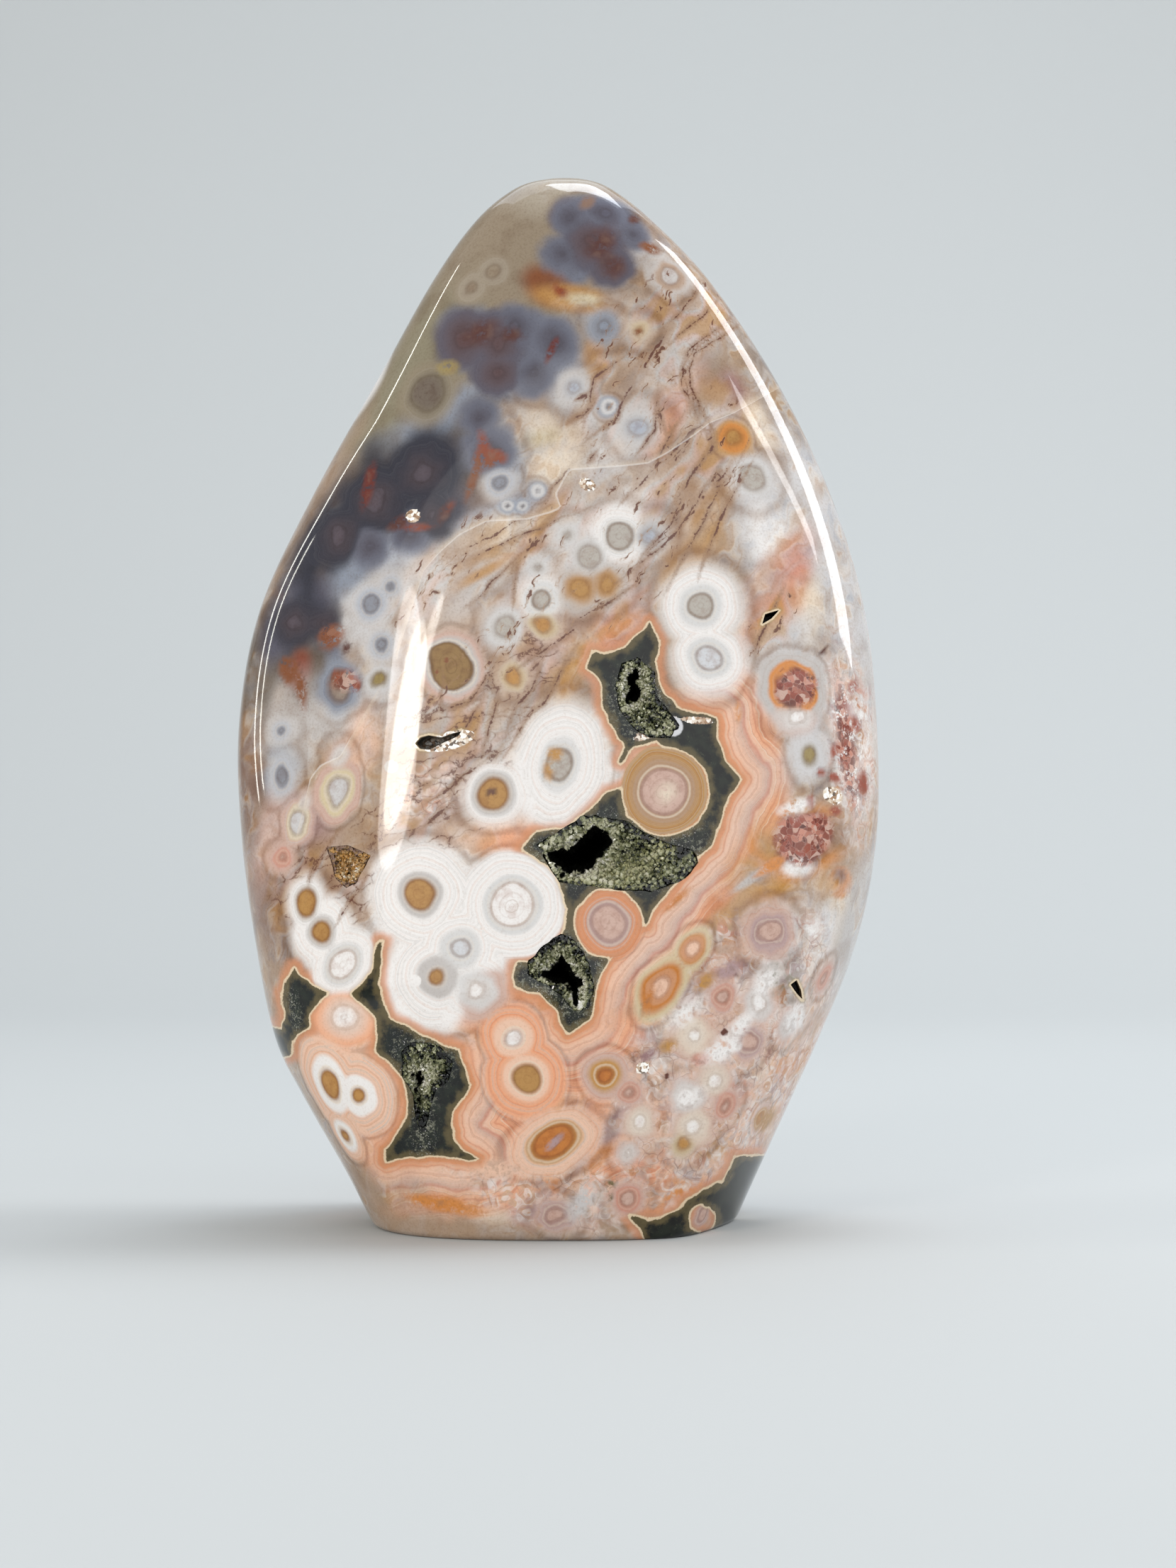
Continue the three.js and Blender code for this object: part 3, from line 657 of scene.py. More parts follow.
    ("lilac", 12, 24.6, 2.8, 2.2, 30, 0.5),
    ("orange", 31.8, 21.6, 2.4, 1.3, 25, 0.5),
    ("white", 31, 27.6, 3.6, 1.8, 20, 0.6),
    ("pale_salmon", 27, 19.4, 5.6, 2.6, 60, 0.5),
    ("rose", 24.4, 18, 2.6, 1.8, 45, 0.6),
    ("lilac", 7.8, 13.2, 3.6, 1.3, 60, 0.5),
    ("white", 18.6, 13.8, 3.4, 1.2, 0, 0.6),
    ("gold", 21, 10.4, 2.6, 1.6, 0, 0.6),
    ("orange", 5.8, 8.9, 2.8, 1, 45, 0.5),
    ("orange", 15.4, 4, 4.4, 2, 15, 0.5),
    ("rose", 11, 7, 3, 2, 0, 0.6),
    ("lilac", 2, 6.6, 3.6, 1, 60, 0.5),
    ("white", 4.3, 3.6, 2.6, 2.4, 60, 0.6),
    ("pale_salmon", -12, 6.2, 9, 2, 176, 0.4),
    ("orange", -14.2, 2.6, 3.4, 0.9, 165, 0.5),
    ("cream", -9.6, 1.6, 3.6, 1.8, 170, 0.6),
    ("lilac", -4, 2, 3, 2.4, 0, 0.6),
    # Along the right edge: the stone's milky rim, with a painted reflection of the light at that side laid
    # into these zones.
    ("white", 41.4, 68, 12, 3, 95, 0.4),
    ("fog", 40.6, 87, 14, 3.2, 108, 0.5),
    ("fog", 36, 104, 12, 2.6, 117, 0.5),
    ("dusk", 29, 119, 10, 2.6, 122, 0.5),
    ("haze", 42, 42, 12, 2.6, 75, 0.5),
    # Along the left edge: darker zones that are a painted reflection of dark surroundings.
    ("dark_slate", -34.4, 95, 13, 2.6, 62, 0.5),
    ("umber_grey", -42.4, 78, 9, 2.4, 82, 0.5),
    ("slate", -39.6, 84, 6, 2.4, 74, 0.5),
    ("mocha", -43.6, 62, 9, 1.8, 90, 0.5),
    ("salmon", -30.5, 28.5, 6.2, 5, 150, 0.2),
    ("salmon", -24, 13, 5.5, 7, 20, 0.35),
    ("pale_salmon", -26.4, 20, 3.4, 6, 20, 0.4),
)

# Irregular stains over the orbs, in the same order as the patches
STAINS = (
    ("red_brown", 6.2, 138, 2.2, 1.6, 60, 0.8),
    ("red_brown", 7.6, 134.6, 1.3, 1.5, 0, 0.8),
    ("mocha", 4, 143.6, 1.2, 0.7, 30, 0.6),
    ("red_brown", 10.6, 141.3, 0.8, 0.6, 0, 0.5),
    ("ember", 0.2, 131.2, 1.2, 0.8, 140, 0.6),
    ("rust", 12.8, 137.3, 1.3, 0.6, 160, 0.5),
    ("red_brown", -10.8, 125.2, 2.6, 1.4, 20, 0.8),
    ("red_brown", -6.6, 124.9, 1.3, 0.9, 0, 0.8),
    ("red", -0.9, 123, 1.8, 0.6, 65, 0.4),
    ("rust", 11.3, 125.4, 0.9, 0.7, 0, 0.5),
    ("ember", -10.6, 109.4, 0.9, 2, 8, 0.4),
    ("ember", -9.6, 107.9, 2, 1.1, 172, 0.4),
    ("rust", -10.6, 107.2, 1.6, 1.3, 0, 0.4),
    ("rust", -12, 104.6, 2.6, 0.7, 72, 0.5),
    ("red", -26.8, 104, 2.8, 0.7, 78, 0.5),
    ("red_brown", -15.9, 100.1, 1.9, 0.9, 60, 0.5),
    ("ember", -15.2, 100.8, 0.9, 0.4, 60, 0.6),
    ("ember", -19.8, 97.8, 1.6, 0.5, 0, 0.5),
    ("red_brown", -22.6, 98.4, 1.6, 0.7, 30, 0.5),
    ("rust", -32.2, 82.3, 1.8, 1.4, 30, 0.4),
    ("red_brown", -29.9, 80.8, 0.6, 1, 0, 0.5),
    ("rust", -38.2, 77.8, 1.7, 1.3, 90, 0.4),
    ("rust", -36.4, 75.2, 2.6, 0.8, 100, 0.5),
    ("ember", -31.2, 76.6, 1.2, 0.7, 100, 0.4),
    ("ember", -28.7, 75.4, 1, 0.8, 70, 0.4),
    ("gold", -0.4, 65.9, 1.2, 1, 0, 0.5),
    ("gold", -1.5, 63.4, 1.3, 0.7, 100, 0.6),
    ("red_brown", -9.4, 60.4, 0.7, 0.7, 0, 0.5),
    ("white", 6, 56.8, 1.6, 0.9, 0, 0.6),
    ("cream", 15.1, 60.4, 1.4, 1.3, 0, 0.8),
    ("white", 33.4, 58.4, 2.2, 1, 20, 0.5),
    ("orange", -16.6, 2.4, 5, 1, 168, 0.5),
    ("pale_salmon", -8.8, 7.2, 4, 1.2, 172, 0.6),
    ("fog", 3.6, 2.8, 2.6, 1.8, 50, 0.6),
    ("mauve", 33.8, 76, 2.4, 0.9, 175, 0.4),
    ("red_brown", 32.5, 73.2, 0.9, 1, 0, 0.4),
    ("orange", 35, 72.8, 0.8, 0.8, 0, 0.5),
    ("orange", 31.6, 77.6, 1.8, 0.9, 40, 0.5),
    ("brick", 41.4, 75.4, 0.8, 0.9, 0, 0.4),
    ("brick", 41.2, 69.9, 1.3, 1.2, 0, 0.4),
    ("brick", 40.1, 66.2, 1.6, 1.2, 0, 0.4),
    ("brick", 38.9, 62.6, 0.8, 0.7, 0, 0.4),
    ("brick", 37, 63.2, 0.7, 0.5, 0, 0.4),
    ("brick", 35.5, 59.2, 0.5, 1, 0, 0.4),
    ("brick", 39.1, 57.8, 0.9, 0.9, 0, 0.4),
    ("brick", 43, 61.6, 0.7, 1.8, 0, 0.4),
    ("red_brown", 37.4, 80.4, 0.9, 0.3, 50, 0.4),
    ("orange", 25.4, 71.6, 0.6, 1.8, 0, 0.5),
    ("orange", 30, 50, 2.6, 0.7, 30, 0.4),
    ("amber", 12.6, 31, 2.2, 0.7, 70, 0.5),
    ("amber", 16.6, 45.2, 2.8, 0.6, 40, 0.6),
    ("lilac", -0.4, 11.2, 1.6, 0.5, 45, 0.4),
    ("white", 24.9, 24.6, 0.7, 0.7, 0, 0.5),
    ("white", 18.4, 29.6, 2.6, 1.2, 40, 0.6),
    ("white", 22.8, 24, 2.4, 1.4, 30, 0.6),
    ("white", 18.2, 17.4, 2.2, 1.2, 20, 0.6),
    ("white", 29.4, 33.8, 2.2, 1.4, 60, 0.6),
    ("white", 26, 27.8, 2.4, 1, 50, 0.6),
    ("white", 33.4, 28.6, 2.2, 1.2, 70, 0.6),
    ("lilac", 23.8, 35.4, 1.8, 1, 20, 0.6),
    ("gold", 20.6, 33.6, 1.8, 0.8, 45, 0.6),
    ("gold", 15.4, 24.6, 1.2, 0.8, 30, 0.6),
    ("ochre", 29.2, 14.4, 1.8, 1, 50, 0.5),
    ("mauve", 12.4, 23.2, 1.4, 0.6, 30, 0.5),
    ("rose", 20, 22.8, 1, 0.8, 0, 0.5),
    ("olive", 7.2, 3.6, 0.3, 1.3, 20, 0.4),
    ("olive", 7.4, 5.2, 0.8, 0.5, 0, 0.4),
    ("olive_gold", -15.6, 120.4, 1.4, 0.9, 0, 0.6),
)

# Small crisp marks: colour, place and radius
SPECKS = (
    ("white", -20.2, 33.8, 0.8),
    ("cool_white", 16.2, 69.7, 1.3),
    ("rust", -15.9, 79.1, 0.45),
    ("rust", -17.2, 77.5, 0.4),
    ("vein", 23.4, 26.6, 0.4),
    ("vein", 15.2, 20.4, 0.35),
    ("grey", -23.5, 64, 0.95),
    ("vein", 20.4, 102, 0.3),
)

# A thin pale line with a faint pale band along one side, as one line like the veins
PALE_LINE = (
    (
        0.12, (-20, 88.6), (-19, 91.8), (-16.8, 94.3), (-14, 96.8), (-10.2, 98.7), (-4.5, 99),
        (-1, 100), (0.3, 100.6), (-0.4, 102.5), (1.5, 106), (5, 106.2), (10, 106.6),
        (12.6, 106.9), (15.1, 108.2), (18.9, 110.7), (21.4, 112.6), (24.6, 113.9), (27.7, 115.6),
    ),
    (0.1, (-29.4, 68), (-30.8, 65.5), (-33.6, 64.2), (-35, 62.4), (-35.5, 60.4)),
)

# The boldest brown veins: half width of each, and its places across and up in the view
STROKES = (
    (0.26, (15.1, 125.2), (14.4, 123.8), (13.1, 122.3), (11.8, 120)),
    (0.08, (19.2, 131.3), (18, 129.1), (16.3, 127.4)),
    (0.10, (20.9, 128.4), (19, 126.7), (17.5, 125.3)),
    (0.14, (11.9, 122.6), (11.2, 121.8)),
    (0.13, (7.7, 120.7), (6.8, 120), (5, 118.8), (4.7, 117.1), (4.3, 115.4)),
    (0.20, (3.9, 116.6), (2.6, 115.8)),
    (0.10, (4.3, 114.7), (3.4, 113.6), (2.2, 113.1)),
    (0.13, (10.6, 118), (9.4, 116.7), (8.7, 114.4), (8.3, 113.1), (6.6, 111.9)),
    (0.06, (20.5, 124.6), (18.2, 122.8), (17.4, 120.3), (17.5, 117.7), (18.4, 115.9)),
    (0.10, (22.6, 124.6), (19.2, 122.4), (18.2, 120), (18.6, 117.7), (20, 114.8)),
    (0.09, (14.2, 114.2), (15, 111.5)),
    (0.09, (13.8, 114.4), (13.5, 111.5), (11.9, 109.2)),
    (0.10, (16.1, 111.2), (15, 109.2), (13.9, 107.3)),
    (0.30, (20.2, 112.3), (18.6, 111), (17.1, 109.4), (15.8, 107.9)),
    (0.15, (18.1, 109.1), (16.3, 106.9)),
    (0.13, (20.7, 108.1), (19.4, 106), (18.1, 103.7), (17.1, 102.4)),
    (0.20, (21.9, 109.6), (21.3, 108.5)),
    (0.12, (22.3, 105.4), (21.3, 103.9)),
    (0.12, (23.8, 106), (22.6, 103.9)),
    (0.12, (1.5, 106.2), (0.4, 104.7), (-0.9, 103.3)),
    (0.12, (5.4, 108.3), (4.5, 107.1)),
    (0.20, (20.2, 102.6), (18.3, 99.4), (15.1, 95.6), (12.3, 93.4)),
    (0.12, (17, 101), (15.6, 98.2), (13, 95)),
    (0.13, (22.9, 103.2), (21.2, 100.4), (19.2, 96.2), (17.9, 93.8)),
    (0.12, (24.8, 102.6), (22.8, 99), (21.2, 94.6)),
    (0.14, (13.2, 105.7), (10.1, 102.5)),
    (0.16, (9.1, 88.6), (6.3, 86.7), (3.1, 85.1)),
    (0.10, (2.5, 83.6), (-0.7, 81.7), (-3.2, 79.8)),
    (0.12, (-7.6, 91.8), (-10.2, 89.2), (-11.4, 88)),
    (0.10, (-5.4, 98.7), (-9.2, 96.8), (-12.4, 95.2)),
    (0.08, (-2.6, 97.8), (-7, 95.9), (-10.8, 94.3)),
    (0.09, (-6.1, 90.6), (-6.4, 88.1)),
    (0.16, (1.1, 82.8), (-0.2, 81.6), (-1.5, 81.3)),
    (0.16, (-3.1, 76.9), (-3.7, 75.2), (-5.9, 72.9), (-6.4, 71.5)),
    (0.12, (0.8, 78.1), (-0.5, 75.7), (-2.2, 73.1), (-4.1, 71.5), (-5, 70)),
    (0.10, (-10.7, 76.1), (-12, 74.2)),
    (0.18, (-8.9, 72.9), (-9.8, 69.6), (-10.3, 67.6)),
    (0.09, (-16.5, 73.9), (-16.6, 72), (-13.3, 72.9)),
    (0.10, (-11.6, 72.2), (-13.2, 69.4)),
    (0.22, (-11.5, 64), (-13.7, 62.4), (-15.6, 60.7), (-16.8, 60)),
    (0.26, (-15.6, 58.4), (-17.2, 57), (-18.5, 56)),
    (0.14, (-19.5, 61.3), (-18.2, 61.8)),
    (0.10, (30, 85.6), (28.2, 81.6), (27.4, 80.4)),
    (0.10, (-32.6, 52.6), (-34.6, 49.8), (-35, 48.2)),
    (0.10, (-28.2, 46.6), (-30.2, 43.6)),
)

# Where brown veins, breccia, druse and fine bands show: place, half length, half width, tilt, softness
VEINS = (
    (12, 121, 14, 6.5, 57, 0.5),
    (20, 126, 8, 3, 57, 0.5),
    (17, 103, 15, 6, 57, 0.5),
    (0.5, 99, 10, 3.6, 40, 0.5),
    (-6, 84, 13, 4, 48, 0.5),
    (-16.5, 91, 9, 3.4, 42, 0.5),
    (6.5, 87, 8, 3, 25, 0.5),
    (30, 84, 5, 2.5, 60, 0.5),
)
DASHES = (
    (-12, 71, 15, 8.5, 52, 0.4),
    (-16, 60, 6, 4, 45, 0.5),
    (-33, 47, 6, 7, 90, 0.5),
    (-20, 56, 8, 4, 10, 0.5),
)
GRANULAR = (
    (34.6, 54, 4.4, 3.6, 20, 0.1),
    (33.6, 75, 2.9, 2.6, 20, 0.12),
    (40.6, 67, 9, 1.3, 96, 0.5),
    (-32, 82.6, 1.7, 1.3, 30, 0.4),
    (-30.2, 76.2, 1.9, 1.4, 20, 0.4),
)
SPARKLE = (
    (4, 103.9, 1.5, 1, 160, 0.6),
    (-20.4, 99.4, 1, 0.9, 0, 0.3),
    (11.9, 21.6, 1, 0.8, 30, 0.5),
    (13.4, 69.2, 3.6, 1, 28, 0.6),
    (19.6, 70.6, 2.4, 0.5, 175, 0.7),
    (38.7, 60, 1.2, 1.6, 60, 0.5),
    (-16, 67.5, 3.6, 1.2, 14, 0.3),
)
BRECCIA = (
    (22, 20, 20, 11.5, 60, 0.25),
    (30, 35, 9, 9, 0, 0.3),
    (4, 3, 16, 4.6, 172, 0.3),
    (-17.6, 61, 4.6, 3.6, 40, 0.5),
    (41, 67, 13, 3.4, 95, 0.4),
    (22, 39, 6, 2.6, 45, 0.5),
)
DRUSE = (
    (-18.9, 23.2, 4, 4.2, 90, 0.5),
    (-19, 15.5, 8, 1.8, 88, 0.5),
    (-37.3, 29.8, 3.4, 1, 100, 0.5),
    (1, 34.5, 6.5, 6, 90, 0.4),
    (8.5, 52, 12, 5, 0, 0.4),
    (11, 73, 5, 4, 90, 0.5),
)
CALM = (
    (-15, 128, 30, 13, 60, 0.3),
    (-24, 100, 24, 10, 58, 0.3),
    (4, 138, 9, 7, 0, 0.3),
    (-4, 122, 7, 6, 0, 0.3),
    (-36, 80, 10, 6, 70, 0.4),
)
# Where light comes through the crust in the largest pocket
GLOW = (
    (8.6, 49.6, 4.6, 1.9, 8, 0.6),
    (13.4, 52.6, 2, 1.2, 20, 0.6),
    (2.4, 49.2, 1.6, 0.6, 0, 0.6),
)
BANDS = (
    (-2, 14, 22, 14, 10, 0.3),
    (15, 47, 25, 7, 58, 0.3),
    (25, 68, 14, 6.5, 110, 0.3),
    (28, 83, 6, 4, 50, 0.6),
)


def new_object(name, mesh):
    made = bpy.data.objects.new(name, mesh)
    scene.collection.objects.link(made)
    return made


# The form of the stone


def section_at(s):
    """Height, edges and depth at places s along the list of sections, on a smooth curve through them."""
    z, left, right, depth = SECTIONS[-2]
    rows = np.vstack([2 * SECTIONS[0] - SECTIONS[1], SECTIONS, (z, right, left, -depth)])
    i = np.minimum(s.astype(int), len(SECTIONS) - 2)
    t = (s - i)[..., None]
    p0, p1, p2, p3 = (rows[i + k] for k in range(4))
    turn = 3 * (p1 - p2) + p3 - p0
    bend = 2 * p0 - 5 * p1 + 4 * p2 - p3
    return p1 + 0.5 * t * (p2 - p0 + t * (bend + t * turn))


def soft_min(a, b, width):
    overlap = np.maximum(0, width - np.abs(a - b))
    return np.minimum(a, b) - overlap**2 / (4 * width)


def surface(angle, section):
    """Points of the polished surface at angles round sections."""
    z, left, right, depth = np.moveaxis(section, -1, 0)
    middle, half = (left + right) / 2, (right - left) / 2
    c, s = np.cos(angle), np.sin(angle)
    length = (np.abs(c / half) ** ROUNDNESS + np.abs(s / depth) ** ROUNDNESS) ** (-1 / ROUNDNESS)
    for nx, ny, nz, far in FLATS:
        facing = np.maximum(nx * c + ny * s, 1e-6)
        length = soft_min(length, (far - nz * z - nx * middle) / facing, EDGE_SOFTNESS)
    length -= BASE_BEVEL - np.sqrt(BASE_BEVEL**2 - np.clip(BASE_BEVEL - z, 0, BASE_BEVEL) ** 2)
    length = np.maximum(length - POLISH_LOSS, 0)
    return np.stack([middle + length * c, length * s, z + 0 * length], -1)


def sections_by_height(z):
    s = np.linspace(0, len(SECTIONS) - 1, 3000)
    return section_at(np.interp(z, section_at(s)[:, 0], s))


def middle_line(z):
    """Half way between the stone's left and right edges, by height."""
    return sections_by_height(z)[:, 1:3].mean(axis=1)


def depth_under_polish(points):
    """How far points lie inside the polished surface."""
    from_middle = points[:, 0] - middle_line(points[:, 2])
    angle = np.arctan2(points[:, 1], from_middle)
    skin = surface(angle, sections_by_height(points[:, 2]))
    skin[:, 0] -= middle_line(points[:, 2])
    return np.hypot(skin[:, 0], skin[:, 1]) - np.hypot(from_middle, points[:, 1])


def polished_body():
    """The uncut stone: rings of evenly spaced points, closer together in front than behind."""
    bevel_steps = np.radians(np.arange(0, 90, 15))
    step = SECTIONS[1][0]
    bevel = BASE_BEVEL * (1 - np.cos(bevel_steps)) / step
    fine = np.linspace(BASE_BEVEL / step, len(SECTIONS) - 1, 6000)
    outline = section_at(fine)
    run = np.linalg.norm(np.diff(outline[:, :3], axis=0) * (1, 0.5, 0.5), axis=1)
    along = np.concatenate([[0], np.cumsum(run)])
    places = np.interp(np.linspace(0, along[-1], LEVELS + 1)[:-1], along, fine)
    sections = section_at(np.concatenate([bevel, places]))
    angles = np.linspace(0, 2 * math.pi, 1441)
    dense = surface(angles[None], sections[:, None])
    weight = 1 - SPARSER_BEHIND / (1 + np.exp(-14 * (np.sin(angles[:-1]) - 0.35)))
    run = np.linalg.norm(np.diff(dense, axis=1), axis=2) * weight
    along = np.concatenate([np.zeros((len(run), 1)), np.cumsum(run, 1)], 1)
    shares = np.arange(AROUND) / AROUND
    rings = np.stack([np.interp(shares * row[-1], row, angles) for row in along])
    points = surface(rings, sections[:, None]).reshape(-1, 3)
    count = len(sections)
    vertices = np.vstack([points, (0, 0, 0), (SECTIONS[-1][1], 0, SECTIONS[-1][0])])
    k = np.arange(AROUND)
    after = (k + 1) % AROUND
    row = np.arange(count - 1)[:, None] * AROUND
    quads = np.stack([row + k, row + after, row + after + AROUND, row + k + AROUND], -1).reshape(-1, 4)
    top = (count - 1) * AROUND
    base_fan = [(count * AROUND, b, a) for a, b in zip(k, after)]
    tip_fan = [(top + a, top + b, count * AROUND + 1) for a, b in zip(k, after)]
    mesh = bpy.data.meshes.new("polished_stone")
    mesh.from_pydata((vertices * MM).tolist(), [], quads.tolist() + base_fan + tip_fan)
    mesh.polygons.foreach_set("use_smooth", [True] * len(mesh.polygons))
    return new_object("polished_stone", mesh)


# Pockets and the quartz in them


def reach(outline, middle, angles):
    """How far an outline lies from its middle, at angles round it."""
    away = np.zeros(len(angles))
    corners = np.array(outline) - middle
    ray = np.stack([np.cos(angles), np.sin(angles)], 1)
    for a, b in zip(corners, np.roll(corners, -1, 0)):
        side = b - a
        cross = ray[:, 0] * side[1] - ray[:, 1] * side[0]
        cross = np.where(np.abs(cross) < 1e-9, 1e-9, cross)
        far = (a[0] * side[1] - a[1] * side[0]) / cross
        along = (a[0] * ray[:, 1] - a[1] * ray[:, 0]) / cross
        away = np.where((along >= 0) & (along <= 1) & (far > 0), np.maximum(away, far), away)
    return away


def ragged(outline, middle, size, seed):
    """Points round an outline, made uneven, as offsets from its middle."""
    angles = np.linspace(0, -2 * math.pi, POCKET_STEPS, endpoint=False)
    ray = np.stack([np.cos(angles), np.sin(angles)], 1)
    points = reach(outline, middle, angles)[:, None] * ray
    place = np.insert(points + middle, 1, seed * 9.0, axis=1)
    return points * (1 + size * cloudy(place, 0.9, seed))[:, None]


def closed_rings(rings):
    """Vertices and faces of rings of points in a row, closed by a fan at either end."""
    count, around = len(rings), len(rings[0])
    vertices = [point for ring in rings for point in ring]
    vertices += [np.mean(rings[0], axis=0), np.mean(rings[-1], axis=0)]
    faces = []
    for k in range(around):
        n = (k + 1) % around
        for row in range(count - 1):
            a, b = row * around, (row + 1) * around
            faces.append((a + k, a + n, b + n, b + k))
        faces.append((count * around, n, k))
        last = (count - 1) * around
        faces.append((count * around + 1, last + k, last + n))
    return vertices, faces


def bowl_rings(outline, middle, front, face, floor, seed):
    """Rings of a pocket from in front of the stone to its floor."""
    offsets = ragged(outline, middle, MOUTH_RAGGED, seed)
    rings = [[(middle[0] + x, front, middle[1] + z) for x, z in offsets]]
    for depth, share in POCKET_TAPER:
        y = face + depth * (floor - face)
        place = np.array([(x, y * 1.7 + seed, z) for x, z in offsets + middle])
        lumps = share * (1 + 0.07 * depth * cloudy(place, 1.6, seed + 1))
        rings.append([
            (middle[0] + k * x, y, middle[1] + k * z) for k, (x, z) in zip(lumps, offsets)
        ])
    return rings


def face_depth(surface_tree, x, z):
    """The place of the polished front, along the depth."""
    hit = surface_tree.ray_cast(Vector((x, -100, z)) * MM, Vector((0, 1, 0)))[0]
    return hit.y / MM


def cut_pockets(stone, surface_tree):
    hollows = [
        (pocket["mouth"], pocket["middles"][0], pocket["floor"]) for pocket in POCKETS.values()
    ]
    hollows += [(slit["mouth"], slit["middle"], slit["floor"]) for slit in SLITS]
    vertices, faces = [], []
    for seed, (mouth, middle, floor) in enumerate(hollows):
        face = face_depth(surface_tree, *middle)
        rings = bowl_rings(mouth, middle, CUTTER_FRONT, face, floor, seed)
        points, sides = closed_rings(rings)
        faces += [[len(vertices) + i for i in side] for side in sides]
        vertices += points
    mesh = bpy.data.meshes.new("cutter")
    mesh.from_pydata((np.array(vertices) * MM).tolist(), [], faces)
    cutter = new_object("cutter", mesh)
    cut = stone.modifiers.new("pockets", "BOOLEAN")
    cut.operation = "DIFFERENCE"
    cut.solver = "MANIFOLD"
    cut.object = cutter
    bake_modifiers(stone)
    bpy.data.objects.remove(cutter)
    stone.data.polygons.foreach_set("use_smooth", [True] * len(stone.data.polygons))
    stone.data.set_sharp_from_angle(angle=SHARP)


def bake_modifiers(piece):
    """Turn a piece with its modifiers into a plain mesh."""
    evaluated = piece.evaluated_get(bpy.context.evaluated_depsgraph_get())
    mesh = bpy.data.meshes.new_from_object(evaluated)
    piece.modifiers.clear()
    piece.data = mesh


def crust(name, surface_tree, seed):
    """A closed shell that lines a pocket, rough on the inside."""
    pocket = POCKETS[name]
    middle, hole_middle = (np.array(m) for m in pocket["middles"])
    face = face_depth(surface_tree, *middle)
    mouth = ragged(pocket["mouth"], middle, MOUTH_RAGGED, seed)
    hole = ragged(pocket["hole"], hole_middle, HOLE_RAGGED, seed + 20)
    outer = bowl_rings(pocket["mouth"], middle, CUTTER_FRONT, face, pocket["floor"], seed)[2:]
    back = []
    for ring in outer:
        points = np.array(ring)
        inward = np.array((middle[0], 0, middle[1])) - points
        inward[:, 1] = 0
        inward /= np.maximum(np.linalg.norm(inward, axis=1), 1e-6)[:, None]
        back.append(points + inward * CRUST_BACK - (0, CRUST_BACK, 0))
    depth = pocket["floor"] - face
    inner = []
    steps = [step for step in CRUST_STEPS if step[0] < depth - CRUST_FLOOR[0] - 0.5]
    steps.append((depth - CRUST_FLOOR[0], 1.0, CRUST_FLOOR[1]))
    for behind, share, size in steps:
        ring = (1 - share) * (mouth + middle) + share * (hole + hole_middle)
        centre = (1 - share) * middle + share * hole_middle
        ring = centre + size * (ring - centre)
        faces = [face_depth(surface_tree, x, z) for x, z in ring]
        base = np.mean(faces) if behind > 3 else np.array(faces)
        points = np.insert(ring, 1, base + behind, axis=1)
        lumps = np.stack([cloudy(points, 1.3, seed + k) for k in (31, 32, 33)], 1)
        inner.append(points + lumps * (0.15 if behind < 0.5 else 0.35))
    vertices, faces = closed_rings(list(inner[::-1]) + back)
    name = name.replace("crystals", "druse")
    mesh = bpy.data.meshes.new(name)
    mesh.from_pydata((np.array(vertices) * MM).tolist(), [], faces)
    wall = np.zeros(len(vertices))
    wall[: len(inner) * POCKET_STEPS] = 1
    wall[len(inner + back) * POCKET_STEPS] = 1
    mesh.attributes.new("open_side", "FLOAT", "POINT").data.foreach_set("value", wall)
    return new_object(name, mesh), face


